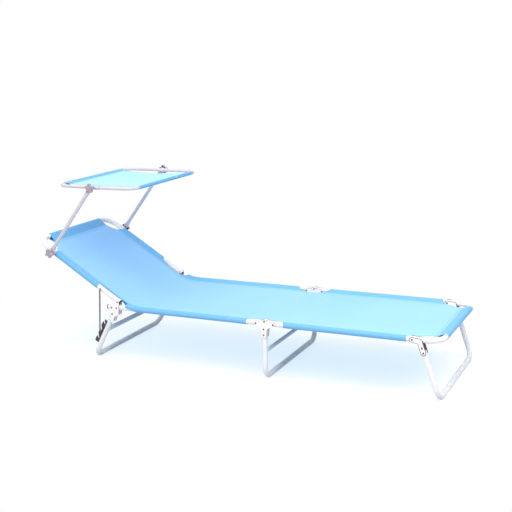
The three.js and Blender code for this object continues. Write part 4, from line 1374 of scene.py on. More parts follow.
@dataclass
class Backrest:
    """The backrest's U-bent tube, its plugs and the wire stay."""

    stub: float = 0.0055
    corner: float = 0.065
    wire: float = 0.0035
    wire_sides: int = 18
    wire_steps: int = 8
    wire_bends: tuple[float, ...] = (0.0038, 0.009, 0.009, 0.0038)
    wire_outside: float = 0.015
    wire_inside: float = 0.007

    def build(self, finish: Finishes) -> None:
        """Adds the tube, the plugs and the stay.

        Args:
            finish: The finishes.
        """
        path = bent_path(mirrored([(-S.back, S.side, 0), (self.stub, S.side, 0)]), [self.corner] * 2, S.bend)
        shape = tube(path, (0, 0, 1), S.radius, S.wall, S.sides).at(S.back_place)
        add_piece("backrest_loop", shape, "backrest", [finish.tube], ["backrest_tube"])
        plug = Plug().shape(self.stub, 1)
        for side in Side:
            node, cap = f"backrest_plug_{side.word}", plug.at(S.back_place, side)
            add_piece(f"{node}_moulding", cap, "backrest", [finish.black], [node])
        self.stay(finish)

    def stay(self, finish: Finishes) -> None:
        """Adds the stay, a wire bent to a wide U from the racks' middle seats up into the backrest's tube.

        Args:
            finish: The finishes.
        """
        rack = Rack()
        top, seat = S.back_place.within(-S.stay_reach, 0.0), S.head_place.within(-rack.seat, -rack.middle)
        run, drop = seat.x - top.x, seat.z - top.z
        length, turn = math.hypot(run, drop), math.atan2(-run, -drop)
        plane, inside = S.side + self.wire_outside, S.side - self.wire_inside
        corners = mirrored([(0, plane, -length), (0, plane, 0), (0, inside, 0)])
        path = bent_path(corners, self.wire_bends, self.wire_steps)
        shape = rod(path, (1, 0, 0), self.wire, self.wire_sides).at(Place(top.x, top.z, turn))
        add_piece("stay_wire_bail", shape, "stay", [finish.wire], ["prop_bail"])


@dataclass
class StarKnob:
    """A five-lobed knob: a star outline stepped in over its rounded rim, a dished front and a hollow back.

    The outline is r(q) = waist + (R - waist) ((1 + cos 5q) / 2)^0.8. The surface goes from the bore of the
    back over circles, then over the star less an inset, then over circles to the middle of the front.
    """

    radius: float = 0.021
    waist: float = 0.0135
    thickness: float = 0.014
    lobes: int = 5
    power: float = 0.8
    sides: int = 120
    steps: int = 5
    back_edge: float = 0.0016
    front_edge: float = 0.0030
    brow: float = 0.0050
    dish_inset: float = 0.0055
    dish: float = 0.0088
    dish_share: float = 0.6
    dish_depth: float = 0.0006
    back: Profile = (
        (0.0, 0.0112), (0.0045, 0.0112), (0.0045, 0.0), (0.0068, 0.0), (0.0070, 0.0006), (0.0070, 0.0085),
        (0.0110, 0.0085), (0.0110, 0.0),
    )
    cap: Profile = ((0.0085, -0.0010), (0.0078, -0.0004), (0.0040, -0.0002), (0.0, 0.0))

    def shape(self, start: float) -> Shape:
        """Builds the knob.

        Args:
            start: The y of its back.

        Returns:
            The knob, its hollow back in the second finish, which is painted shade.
        """
        q = 2 * np.pi * np.arange(self.sides) / self.sides
        star = self.waist + (self.radius - self.waist) * ((1 + np.cos(self.lobes * q)) / 2) ** self.power
        bend, front = np.linspace(0, np.pi / 2, self.steps + 1), self.thickness
        rows = [(r + 0 * q, y) for r, y in self.back]
        for a in bend:
            rows.append((star - self.back_edge * (1 - math.sin(a)), self.back_edge * (1 - math.cos(a))))
        for a in bend:
            lowered_by = self.front_edge * (1 - math.sin(a))
            rows.append((star - self.front_edge * (1 - math.cos(a)), front - lowered_by))
        dish = self.dish_share * (star - self.dish_inset) + (1 - self.dish_share) * self.dish
        rows += [(star - self.brow, front), (dish, front - self.dish_depth)]
        rows += [(r + 0 * q, front + y) for r, y in self.cap]
        grid = [np.stack([r * np.sin(q), start + y + 0 * q, r * np.cos(q)], -1) for r, y in rows]
        shape = grid_shape(np.stack(grid))
        # The hollow back is painted dark: painted shade inside the knob's underside.
        hollow = (len(self.back) + 1) * self.sides
        shape.wear[:hollow] = [Coat.SECOND] * hollow
        return shape


@dataclass(frozen=True)
class Fitting:
    """A sleeve round a tube along X, with a round pad beside it that carries a threaded stud."""

    tube: float
    wall: float
    run: tuple[float, float]
    side: float
    pad: float
    pad_from: float
    pad_edge: float
    soft: float = 0.0006
    sunk: float = 0.002
    stud: float = 0.0039
    groove: float = 0.0003
    threads: int = 40
    tip: float = 0.0032
    tip_length: float = 0.0006
    stud_reach: float = 0.0112
    stud_sides: int = 20
    pad_sides: int = 32

    def sleeve(self) -> Shape:
        """Draws the sleeve: a closed profile with chamfered corners, turned about the tube's axis.

        Returns:
            The sleeve, in the third finish.
        """
        inner, outer, e = self.tube + GAP, self.tube + GAP + self.wall, self.soft
        start, end = self.run
        profile = [
            (inner, start + e), (inner + e, start), (outer - e, start), (outer, start + e), (outer, end - e),
            (outer - e, end), (inner + e, end), (inner, end - e),
        ]
        return spun(profile, S.sides, self.side, closed=True).worn(Coat.THIRD)

    def thread(self, start: float, end: float, root: float) -> Shape:
        """A stud along Y, in the second finish, whose radius steps in at every second ring for its grooves.

        Args:
            start: Where the thread begins.
            end: Where the stud ends.
            root: Where the stud begins, inside the pad.

        Returns:
            The stud.
        """
        y = np.linspace(start, end - self.tip_length, self.threads)
        rows = [(self.stud - self.groove * (i % 2), float(v)) for i, v in enumerate(y)]
        profile = [(0.0, root), (self.stud, root), *rows, (self.tip, end), (0.0, end)]
        return turned(profile, self.stud_sides).worn(Coat.SECOND)

    def shape(self, plane: float, flat: float) -> Shape:
        """Builds the fitting up to an arm's flattened end.

        Args:
            plane: The y of the arm's middle.
            flat: Half the thickness of its flattened end.

        Returns:
            The fitting.
        """
        pad_to = plane - flat - GAP
        pad = turned(rounded(self.pad, self.side + self.pad_from, pad_to, self.pad_edge), self.pad_sides)
        stud = self.thread(plane - flat, plane + flat + self.stud_reach, pad_to - self.sunk)
        return self.sleeve() + pad + stud


@dataclass
class Canopy:
    """The canopy's frame: arms with flattened ends, the hood's two tubes, brackets, clamps and knobs."""

    plane: float = 0.3085
    flat: float = 0.003
    arm_radius: float = 0.008
    arm_end: float = 0.0105
    arm_run: float = 0.023
    arm_taper: float = 0.024
    arm_sides: int = 28
    arm_steps: int = 8
    squareness: float = 0.45
    reach: float = 0.293
    radius: float = 0.00675
    sides: int = 28
    bend: int = 12
    bow: float = 0.008
    bow_from: float = 0.070
    bow_radius: float = 0.400
    corner: float = 0.046
    joint: float = 0.012
    bracket_end: float = 0.036
    clamp_half: float = 0.010

    def arm(self) -> Shape:
        """Draws an arm along +X from its lower pivot.

        Its ring is a superellipse, (a |cos q|^p, b |sin q|^p) with the signs of cos and sin. Its half width b
        ends as a half circle round each pivot, and its half thickness a goes from flat to round.

        Returns:
            The arm.
        """
        wide, round_to, square = self.arm_end, self.arm_radius, self.squareness
        tip = wide * np.sin(np.linspace(-np.pi / 2, 0, self.arm_steps))
        near = np.concatenate([tip, self.arm_run + self.arm_taper * np.linspace(0, 1, self.arm_steps)])
        x = np.concatenate([near, S.arm - near[::-1]])
        inward = np.minimum(x, S.arm - x)
        share = smooth(inward, self.arm_run, self.arm_run + self.arm_taper)
        tips = np.sqrt(np.clip(1 - (np.minimum(inward, 0) / wide) ** 2, 0, 1))
        thinner = np.where(inward < 0, square + (1 - square) * tips, 1.0)
        a = np.where(tips < 1e-6, 0.0, (self.flat + (round_to - self.flat) * share) * thinner)
        b = (wide + (round_to - wide) * share) * tips
        p = (square + (1 - square) * share)[:, None]
        q = around(self.arm_sides)
        c, s = np.cos(q)[None], np.sin(q)[None]
        y = a[:, None] * np.sign(c) * np.abs(c) ** p
        z = b[:, None] * np.sign(s) * np.abs(s) ** p
        return grid_shape(np.stack([np.broadcast_to(x[:, None], y.shape), self.plane + y, z], -1))

    def hood_tube(self, towards: int, reach: float) -> Shape:
        """Draws one U of the hood's frame, its sides bowed outwards from the joints to the corners.

        Args:
            towards: 1 for the front tube, -1 for the rear one.
            reach: How far its bar lies from the pivots.

        Returns:
            The tube.
        """
        bar, bend, joint = towards * reach, towards * self.bow_from, self.joint + towards * GAP
        left = [(bar, self.reach - self.bow, 0), (bend, self.reach, 0), (joint, self.reach, 0)]
        radii = [self.bow_radius, self.corner, self.corner, self.bow_radius]
        path = bent_path(mirrored(left), radii, self.bend)
        return tube(path, (0, 0, 1), self.radius, S.wall, self.sides)

    def build(self, finish: Finishes) -> None:
        """Adds the arms, fittings and knobs of both sides, and the hood's tubes.

        Args:
            finish: The finishes.
        """
        clamp = Fitting(
            tube=S.radius, wall=0.002, run=(-self.clamp_half, self.clamp_half), side=S.side,
            pad=0.009, pad_from=0.0105, pad_edge=0.0008,
        )
        bracket = Fitting(
            tube=self.radius, wall=0.0016, run=(-self.joint, self.bracket_end), side=self.reach,
            pad=0.0075, pad_from=0.0062, pad_edge=0.0006,
        )
        arm, knob = self.arm(), StarKnob().shape(self.plane + self.flat + GAP)
        fittings = (
            ("canopy_clamp", "band", clamp, S.clamp_place, "backrest", finish.tube),
            ("canopy_bracket", "sleeve", bracket, S.hood_place, "canopy_hood", finish.arm),
        )
        for side in Side:
            node = f"canopy_arm_{side.word}"
            bar = arm.at(S.arm_place, side)
            add_piece(f"{node}_tube", bar, "canopy_arms", [finish.arm], [node])
            for kind, suffix, fitting, place, body, sleeve in fittings:
                node, shape = f"{kind}_{side.word}", fitting.shape(self.plane, self.flat).at(place, side)
                coats = [finish.brown, finish.rivet, sleeve]
                add_piece(f"{node}_{suffix}", shape, body, coats, [node])
            for level, place in (("lower", S.clamp_place), ("upper", S.hood_place)):
                node, star = f"knob_{level}_{side.word}", knob.at(place, side)
                # The knobs' backs wear the black plastic as painted shade.
                coats = [finish.knob, finish.black]
                add_piece(f"{node}_star", star, f"{level}_knob_{side.word}", coats, [node])
        for word, towards, reach in (("rear", -1, S.hood_rear), ("front", 1, S.hood_front)):
            node, shape = f"canopy_{word}_tube", self.hood_tube(towards, reach).at(S.hood_place)
            add_piece(f"canopy_{word}_loop", shape, "canopy_hood", [finish.arm], [node])


# ---- cloth


@dataclass
class Pocket:
    """The loop of a cloth round a tube, drawn in the plane across it.

    The pull of the cloth brings the loop's seam to the height of the tube's axis. Along the loop the distance
    w runs from the seam: up the straight that touches the circle of radius rho round the axis, over that
    circle, back along the other straight, and on as a hem under the sheet.
    """

    rho: float
    seam: float
    hem: float
    tuck: float = 0.0012

    def __post_init__(self) -> None:
        """Works out the straights and the arc between them."""
        self.line = math.sqrt(self.seam**2 - self.rho**2)
        self.touch = math.acos(self.rho / self.seam)
        self.arc = 2 * (math.pi - self.touch) * self.rho

    @property
    def fold(self) -> float:
        """The distance to the outermost point, where the cloth turns under."""
        return self.line + self.arc / 2

    @property
    def end(self) -> float:
        """The distance to the hem's edge."""
        return 2 * self.line + self.arc + self.hem

    def at(self, w: Array) -> tuple[Array, Array]:
        """Where the cloth lies on the loop. Below distance 0 it runs on flat, level with the axis.

        On the circle the point at angle q is (-rho cos q, rho sin q), and each straight goes evenly from its
        end to the circle.

        Args:
            w: The distance from the seam.

        Returns:
            How far beyond the axis it lies, and how far above it.
        """
        q = self.touch + np.clip(w - self.line, 0, self.arc) / self.rho
        out, up = -self.rho * np.cos(q), self.rho * np.sin(q)
        rise = np.clip(1 - w / self.line, 0, 1)
        out, up = out + rise * (-self.seam - out), up - rise * up
        fall = np.clip((w - self.line - self.arc) / self.line, 0, 1)
        out, up = out + fall * (-self.seam - out), up + fall * (-self.tuck - up)
        beyond = np.clip(w - 2 * self.line - self.arc, 0, None)
        return out + np.minimum(w, 0) - beyond, up


@dataclass
class Sheet:
    """A cloth given by two distances on its flat cut: s along the bed and a across it."""

    s: Array
    a: Array
    keep: Array
    surface: Callable[[Array, Array], Array]
    marks: dict[str, Array]
    thickness: float = 0.0009
    crease: float = 60.0

    def build(
        self, name: str, body: str | tuple[str, str], material: Material, replaces: Iterable[str], slot: str
    ) -> tuple[bpy.types.Object, float]:
        """Adds the sheet.

        The middle surface is surface(s, a) on the grid, with the quads that keep marks. It gets its
        thickness by a Solidify modifier, which is applied.

        Args:
            name: The piece's name.
            body: The body that it rides on; given two bodies, it is attached to neither.
            material: Its finish.
            replaces: The CAD nodes that it stands for.
            slot: The record's material slot. Not used.

        Returns:
            The piece, and the flat area of its cut.
        """
        shape = grid_shape(self.surface(self.s, self.a), wrap_cols=False)
        faces = np.array(shape.faces)[self.keep.ravel()]
        used, faces = np.unique(faces, return_inverse=True)
        faces = faces.reshape(-1, 4)
        flat = np.stack([self.a.ravel(), self.s.ravel()], -1)[used]
        x, y = np.moveaxis(flat[faces], -1, 0)
        area = float(np.abs(0.5 * np.sum(x * np.roll(y, -1, 1) - y * np.roll(x, -1, 1), 1)).sum())

        def cover(piece: bpy.types.Object) -> None:
            """Puts the flat cut and the marks on the mesh.

            Args:
                piece: The piece, its points and faces as they were given.
            """
            uv = piece.data.uv_layers.new(name="cut")
            uv.data.foreach_set("uv", flat[faces.ravel()].astype(np.float32).ravel())
            for key, values in self.marks.items():
                mark = piece.data.attributes.new(key, "FLOAT", "POINT")
                mark.data.foreach_set("value", values.ravel()[used].astype(np.float32))

        cut = Shape(shape.points[used], faces.tolist())
        piece = add_piece(name, cut, body, [material], replaces, self.crease, cover)
        wall = piece.modifiers.new("wall", "SOLIDIFY")
        wall.thickness, wall.offset, wall.use_even_offset = self.thickness, 0.0, True
        bpy.context.view_layer.objects.active = piece
        with bpy.context.temp_override(object=piece, active_object=piece):
            bpy.ops.object.modifier_apply(modifier="wall")
        piece.data.set_sharp_from_angle(angle=math.radians(self.crease))
        return piece, area


@dataclass(frozen=True)
class CutOut:
    """A half ellipse cut into the sleeve: its middle and half length along the cloth, and what it leaves."""

    middle: float
    run: float
    leaves: float
    power: float

    @classmethod
    def between(cls, low: float, high: float, leaves: float, power: float) -> "CutOut":
        """A cut between two places on the cloth."""
        return cls((low + high) / 2, (high - low) / 2, leaves, power)


@dataclass
class BedCloth:
    """The stretched cloth of the bed, from the head bar over the backrest, seat and foot section.

    Distances s run on the flat cut from 0 at the valley between back and seat, towards the foot. Across, a
    runs from 0 at the middle.
    """

    rho: float = 0.01185
    side_seam: float = 0.030
    head_seam: float = 0.040
    foot_seam: float = 0.030
    hem: float = 0.012
    hem_share: float = 0.45
    seam_blur: tuple[float, float] = (-0.002, 0.006)
    seamless: float = 0.05
    roll_blur: float = 0.001
    rolled: float = 0.010
    rolled_share: float = 0.3
    sag: float = 0.005
    side_ease: float = 0.05
    head_ease: float = 0.10
    foot_ease: float = 0.12
    valley: float = 0.110
    head_cut: tuple[float, float] = (0.116, 0.038)
    head_leaves: tuple[float, float] = (0.256, 0.30)
    mid_cut: float = 0.082
    mid_leaves: tuple[float, float] = (0.243, 0.62)
    head_sleeve: float = 0.361
    head_corner: float = 0.203
    foot_sleeve: float = 0.134
    foot_corner: float = 0.213
    corner_power: float = 0.45
    waves: tuple[tuple[float, ...], ...] = ((0.0007, 9.0, 5.0, 0.0), (0.0005, -6.0, 21.0, 1.3))
    pull: float = 0.0011
    pull_from: float = 0.25
    pull_reach: float = 0.11
    pull_ease: float = 0.05
    pull_rays: float = 11.0
    step: float = 0.008
    least_step: float = 0.0004
    end_room: float = 0.0005
    cut_band: float = 0.02
    cut_rows: int = 33
    bar_band: float = 0.03
    bar_rows: int = 110
    side_band: float = 0.02
    columns: tuple[int, int, int] = (20, 36, 34)
    split: float = 0.36
    back_bend: tuple[float, float] = (0.095, 0.075)
    seat_bend: float = 0.036
    mid_bend: tuple[float, float] = (0.002, 0.080)

    def __post_init__(self) -> None:
        """Lays out the line of the cloth along the bed, and its cuts."""
        self.side = Pocket(self.rho, self.side_seam, self.hem)
        self.head = Pocket(self.rho, self.head_seam, self.hem)
        self.foot = Pocket(self.rho, self.foot_seam, self.hem)
        self.flat = S.side - self.side_seam
        self.fold = self.flat + self.side.fold
        self.corner_x = S.back_pivot + S.back_rise / math.tan(S.back_angle)
        self.radius = self.valley / S.back_angle
        self.half = self.radius * math.tan(S.back_angle / 2)
        self.back_limit = -self.s_of_back(S.back - self.head_seam)
        self.seat_limit = self.s_of_seat(S.foot_bar - self.foot_seam)
        up, on = self.head_cut
        low, high = self.s_of_back(up), self.s_of_seat(S.back_pivot + on)
        self.hinge_cuts = [
            CutOut.between(low, high, *self.head_leaves),
            CutOut.between(self.s_of_seat(-self.mid_cut), self.s_of_seat(self.mid_cut), *self.mid_leaves),
        ]
        self.sleeve_ends = [self.s_of_back(self.head_sleeve), self.s_of_seat(S.foot_bar - self.foot_sleeve)]
        folds = [-self.back_limit - self.head.fold, self.seat_limit + self.foot.fold]
        self.corner_cuts = [
            CutOut(at, end - at, leaves, self.corner_power)
            for at, end, leaves in zip(folds, self.sleeve_ends, (self.head_corner, self.foot_corner))
        ]

    def s_of_seat(self, x: float) -> float:
        """The distance s of a place on the seat or foot section."""
        return x - self.corner_x - self.half + self.valley / 2

    def s_of_back(self, up: float) -> float:
        """The distance s of a place on the backrest, measured up it from the pivot."""
        return -(up + S.back_rise / math.sin(S.back_angle) - self.half + self.valley / 2)

    def spine(self, s: Array) -> tuple[Array, Array, Array, Array]:
        """The line of the cloth along the bed, in the seat frame.

        The two straights meet in a valley that a circle rounds off: its direction turns evenly from the
        back's to the seat's over the valley's length. At each bar the line goes round as a pocket does.

        Args:
            s: The distance along the cloth.

        Returns:
            The line's x and z, and its normal's x and z.
        """
        c, sn = math.cos(S.back_angle), math.sin(S.back_angle)
        turn = (1 - np.clip((s + self.valley / 2) / self.valley, 0, 1)) * S.back_angle
        before = np.minimum(s + self.valley / 2, 0)
        after = np.maximum(s - self.valley / 2, 0)
        x = self.corner_x - self.half * c + before * c + self.radius * (sn - np.sin(turn)) + after
        z = self.half * sn - before * sn - self.radius * (np.cos(turn) - c)
        head, foot = -(s + self.back_limit), s - self.seat_limit
        out, up = self.head.at(head)
        bar_x, bar_z = S.back_pivot - S.back * c, S.back_rise + S.back * sn
        x = np.where(head > 0, bar_x - out * c + up * sn, x)
        z = np.where(head > 0, bar_z + out * sn + up * c, z)
        out, up = self.foot.at(foot)
        x, z = np.where(foot > 0, S.foot_bar + out, x), np.where(foot > 0, up, z)
        return x, z, np.sin(turn), np.cos(turn)

    def width(self, s: Array) -> Array:
        """How far the upper layer reaches to each side: to the fold, or to a cut's edge.

        A cut is half an ellipse, deepest at its middle: fold - (fold - leaves) t^power, t being
        1 - ((s - middle) / run)^2. A corner's cut is deepest at the fold of its bar.

        Args:
            s: The distance along the cloth.

        Returns:
            The half width.
        """
        reach = np.full_like(s, self.fold)
        for cut in self.hinge_cuts + self.corner_cuts:
            t = np.clip(1 - ((s - cut.middle) / cut.run) ** 2, 0, None)
            reach = np.minimum(reach, self.fold - (self.fold - cut.leaves) * t**cut.power)
        return reach

    def waviness(self, s: Array, a: Array) -> Array:
        """The small waves of a stretched cloth: two sines, and rays that fan out from the ends of each cut.

        A ray's height is the pull times exp(-(d / reach)^2) sin(rays q) at distance d and angle q, and
        fades to nothing at the cut's end itself.

        Args:
            s: The distance along the cloth.
            a: The distance across it.

        Returns:
            The waves' height.
        """
        wave = sum(h * np.sin(along * s + across * a + start) for h, along, across, start in self.waves)
        beside = np.abs(a) - self.pull_from
        for cut in self.hinge_cuts:
            for towards in (-1, 1):
                off = s - cut.middle - towards * cut.run
                d, q = np.hypot(off, beside), np.arctan2(beside, off * towards)
                fan = np.exp(-((d / self.pull_reach) ** 2)) * smooth(d, 0.0, self.pull_ease)
                wave += self.pull * fan * np.sin(self.pull_rays * q)
        return wave

    def surface(self, s: Array, a: Array) -> Array:
        """The cloth's middle surface.

        The line's point, moved across by the side pocket and along the line's normal by its rise, less
        the sag 1 - (a / flat)^2, plus the waves where the cloth lies free.

        Args:
            s: The distance along the cloth.
            a: The distance across it.

        Returns:
            Points in the object's frame.
        """
        x, z, nx, nz = self.spine(s)
        out, up = self.side.at(np.abs(a) - self.flat)
        y = np.sign(a) * (S.side + out)
        free = smooth(np.abs(a), self.flat, self.flat - self.side_ease)
        ends = smooth(s, -self.back_limit, self.head_ease - self.back_limit)
        ends = ends * smooth(s, self.seat_limit, self.seat_limit - self.foot_ease)
        sag = self.sag * np.clip(1 - (a / self.flat) ** 2, 0, 1)
        lift = up + (self.waviness(s, a) * free - sag) * ends
        return S.seat_place.put(np.stack([x + nx * lift, y, z + nz * lift], -1))

    def doubled(self, w: Array) -> Array:
        """Says how much deeper the colour is, part own and part painted shade: partly over the hem, wholly on
        the loop.

        Args:
            w: The distance past a seam.

        Returns:
            The deeper colour's share.
        """
        before, past = self.seam_blur
        over = smooth(w, before - self.hem, -before - self.hem)
        return self.hem_share * over + (1 - self.hem_share) * smooth(w, before, past)

    def marks(self, s: Array, a: Array) -> dict[str, Array]:
        """What the mesh carries. Where a cut takes the sleeve away, the seam counts as out of reach.

        Args:
            s: The distance along the cloth.
            a: The distance across it.

        Returns:
            The hem's share, the distance from the nearest seam and the way along that seam.
        """
        w, edge = np.abs(a) - self.flat, self.width(s)
        sleeved = edge > self.flat
        past, blur = np.abs(a) - edge, self.roll_blur
        roll = self.rolled_share * smooth(past, -self.rolled - blur, -self.rolled + blur)
        # The deeper colour on loops, hems and rolled cut edges is partly the double layer's own and partly
        # painted shade.
        hem = np.maximum(np.where(sleeved, self.doubled(w), 0.0), roll)
        seam, run = np.where(sleeved, w, self.seamless), s
        for other in (-(s + self.back_limit), s - self.seat_limit):
            hem = np.maximum(hem, self.doubled(other))
            nearer = np.abs(other) < np.abs(seam)
            seam, run = np.where(nearer, other, seam), np.where(nearer, a, run)
        return {"hem": hem, "seam": seam, "run": run}

    def stations(self, low: float, high: float) -> Array:
        """Stations along the cloth, closer together at the loops and the ends of each cut.

        Args:
            low: Where the length of cloth begins.
            high: Where it ends.

        Returns:
            The stations, both ends among them.
        """
        ends = [cut.middle + way * cut.run for cut in self.hinge_cuts for way in (-1, 1)] + self.sleeve_ends
        near = np.linspace(-self.cut_band, self.cut_band, self.cut_rows)
        head, foot = -self.back_limit, self.seat_limit
        parts = [np.arange(low, high, self.step)] + [v + near for v in ends]
        parts.append(np.linspace(head - self.head.end, head + self.bar_band, self.bar_rows))
        parts.append(np.linspace(foot - self.bar_band, foot + self.foot.end, self.bar_rows))
        s = np.unique(np.concatenate(parts))
        s = s[(s > low + self.end_room) & (s < high - self.end_room)]
        keep = np.concatenate([[True], np.diff(s) > self.least_step])
        return np.concatenate([[low], s[keep], [high]])

    def cut(self, low: float, high: float) -> Sheet:
        """Cuts a length of the cloth.

        Columns of the upper layer are spread over the width there is, closer at its edge. Those of the
        turned-under layer go from the width's mirror beyond the fold to the hem's edge, and are left out
        where that is past it.

        Args:
            low: Where it begins.
            high: Where it ends.

        Returns:
            The length of cloth.
        """
        s = self.stations(low, high)
        reach = self.width(s)
        stop, middle = self.flat + self.side.end, self.flat - self.side_band
        free, beside, below = self.columns
        inside, edge = np.linspace(0, middle, free)[:-1], np.linspace(middle, self.fold, beside)
        share = np.concatenate([inside, edge]) / self.fold
        upper = np.concatenate([-reach[:, None] * share[::-1], reach[:, None] * share[1:]], 1)
        under = np.minimum(2 * self.fold - reach, stop)[:, None]
        under = under + (stop - under) * np.linspace(0, 1, below)
        a = np.concatenate([-under[:, ::-1], upper, under], 1)
        grid_s = np.broadcast_to(s[:, None], a.shape)
        n, m = under.shape[1], upper.shape[1]
        keep = np.ones((len(s) - 1, a.shape[1] - 1), bool)
        some = (2 * self.fold - reach) < stop - 1e-5
        keep[:, : n - 1] = keep[:, n + m :] = (some[:-1] | some[1:])[:, None]
        whole = reach > self.fold - 1e-7
        keep[:, n - 1] = keep[:, n + m - 1] = whole[:-1] & whole[1:]
        return Sheet(grid_s, a, keep, self.surface, self.marks(grid_s, a))

    def build(self, finish: Finishes) -> None:
        """Args:
            finish: The finishes.
        """
        ends = [
            -self.back_limit - self.head.end, self.s_of_seat(-self.split), self.s_of_seat(0.0),
            self.seat_limit + self.foot.end,
        ]
        rails = ["seat_rail_right_tube", "seat_rail_left_tube"]
        plan = [
            ("back", ("backrest", "seat_frame"), "backrest_sling", ["backrest_loop"]),
            ("seat", ("seat_frame", "mid_leg"), "seat_sling", rails),
            ("foot", ("mid_leg", "foot_section"), "foot_sling", ["foot_frame_loop"]),
        ]
        (back_x, back_z), near, far = self.back_bend, *self.mid_bend
        bends = [
            ((S.back_pivot - back_x, back_z), (S.back_pivot + self.seat_bend, 0.0)),
            ((-far, 0.0), (-near, 0.0)), ((near, 0.0), (far, 0.0)),
        ]
        wide = 2 * (self.flat + self.side.end)
        for (word, bodies, node, carriers), (first, last), low, high in zip(plan, bends, ends, ends[1:]):
            name, long = f"bed_cloth_{word}", high - low
            piece, area = self.cut(low, high).build(name, bodies, finish.bed, [node], "lounger_cloth")
            start, end = (tuple(S.seat_place.put(np.array([x, 0.0, z]))) for x, z in (first, last))
            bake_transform(piece)
            area = min(area, wide * long)
            log.info("%s: cut %.3f by %.3f m, %.3f square metres", name, wide, long, area)


@dataclass
class HoodCloth:
    """The canopy's fabric, a sleeve round each bar and hollow side edges between them."""

    rho: float = 0.0076
    seam: float = 0.020
    hem: float = 0.008
    half: float = 0.238
    hollow: float = 0.033
    sag: float = 0.006
    ease: float = 0.25
    waves: tuple[tuple[float, ...], ...] = ((0.0006, 0.0, 24.0, 3.0), (0.0004, 31.0, 9.0, 0.0))
    near: float = 0.012
    blur: float = 0.001
    thickness: float = 0.0008
    columns: int = 60
    loop_rows: int = 70
    free_rows: int = 24
    spread: float = 0.8

    def __post_init__(self) -> None:
        """Sets up the sleeve."""
        self.pocket = Pocket(self.rho, self.seam, self.hem)
        self.middle = (S.hood_front - S.hood_rear) / 2
        self.span = (S.hood_front + S.hood_rear) / 2
        self.flat = self.span - self.seam

    def surface(self, s: Array, a: Array) -> Array:
        """The fabric's middle surface.

        Level with the bars' axes apart from a sag 1 - (s / flat)^2, which eases towards the free sides,
        and looped round each bar as the pocket gives.

        Args:
            s: The distance from the middle between the bars.
            a: The distance across.

        Returns:
            Points in the object's frame.
        """
        out, up = self.pocket.at(np.abs(s) - self.flat)
        x = self.middle + np.sign(s) * (self.span + out)
        share = np.clip(1 - (s / self.flat) ** 2, 0, 1)
        wave = sum(h * np.sin(along * s + across * a + start) for h, along, across, start in self.waves)
        z = up - self.sag * share * (1 - self.ease * (a / self.half) ** 2) + wave * share
        return S.hood_place.put(np.stack([x, a, z], -1))

    def marks(self, s: Array, a: Array, reach: Array) -> dict[str, Array]:
        """What the mesh carries.

        Args:
            s: The distance from the middle between the bars.
            a: The distance across.
            reach: The half width at each row.

        Returns:
            The hem's share, the distance from the nearest seam and the way along that seam.
        """
        seam, side = np.abs(s) - self.flat, np.abs(a) - reach[:, None] + self.hem
        # The deeper colour on the sleeves and side hems is partly the double layer's own and partly painted
        # shade.
        hem = smooth(seam, -self.hem - self.blur, -self.hem + self.blur)
        hem = np.maximum(hem, smooth(side, -3 * self.blur, -self.blur))
        nearer = np.abs(side) < np.abs(seam)
        return {"hem": hem, "seam": np.where(nearer, side, seam), "run": np.where(nearer, s, a)}

    def build(self, finish: Finishes) -> None:
        """Its half width is half - hollow sqrt(1 - (s / span)^2).

        Args:
            finish: The finishes.
        """
        inner = self.flat + np.linspace(-self.near, self.pocket.end, self.loop_rows)
        between = np.linspace(0, self.flat - self.near, self.free_rows)[:-1]
        s = np.concatenate([-inner[::-1], -between[:0:-1], between, inner])
        fold = self.flat + self.pocket.fold
        over = np.where(np.abs(s) > fold, 2 * fold - np.abs(s), np.abs(s))
        t = np.clip(1 - (over / (self.span - self.near)) ** 2, 0, None)
        reach = self.half - self.hollow * np.sqrt(t)
        turn = self.spread * np.pi / 2
        a = reach[:, None] * np.sin(np.linspace(-1, 1, self.columns + 1) * turn) / math.sin(turn)
        grid = np.broadcast_to(s[:, None], a.shape)
        keep = np.ones((len(s) - 1, self.columns), bool)
        sheet = Sheet(grid, a, keep, self.surface, self.marks(grid, a, reach), self.thickness)
        piece, area = sheet.build("canopy_cloth", "canopy_hood", finish.hood, ["canopy_fabric"], "hood_cloth")
        wide, long = 2 * self.half, 2 * (self.flat + self.pocket.end)
        log.info("canopy_cloth: cut %.3f by %.3f m, %.3f square metres", wide, long, area)


# ---- the studio


def seen_rays(tree: bpy.types.NodeTree) -> bpy.types.NodeSocket:
    """Tells the rays that see a surface from the light that it gathers.

    Args:
        tree: The node tree that needs it.

    Returns:
        A socket that is 1 for camera, glossy and transmission rays, and 0 for all others.
    """
    path = tree.nodes.new("ShaderNodeLightPath")
    total = path.outputs["Is Camera Ray"]
    for name in ("Is Glossy Ray", "Is Transmission Ray"):
        larger = tree.nodes.new("ShaderNodeMath")
        larger.operation = "MAXIMUM"
        tree.links.new(total, larger.inputs[0])
        tree.links.new(path.outputs[name], larger.inputs[1])
        total = larger.outputs[0]
    return total


def stand(
    name: str, data: bpy.types.ID, right: Array, up: Array, back: Array, at: Sequence[float]
) -> bpy.types.Object:
    """Puts a camera or lamp into the scene.

    Args:
        name: The object's name.
        data: The camera or lamp.
        right: Its first axis.
        up: Its second axis.
        back: Its third axis, away from what it faces.
        at: Where it stands.

    Returns:
        The object.
    """
    item = bpy.data.objects.new(name, data)
    bpy.context.scene.collection.objects.link(item)
    rows = np.stack([right, up, back, np.asarray(at, float)], 1).tolist()
    item.matrix_world = Matrix([*rows, [0.0, 0.0, 0.0, 1.0]])
    return item


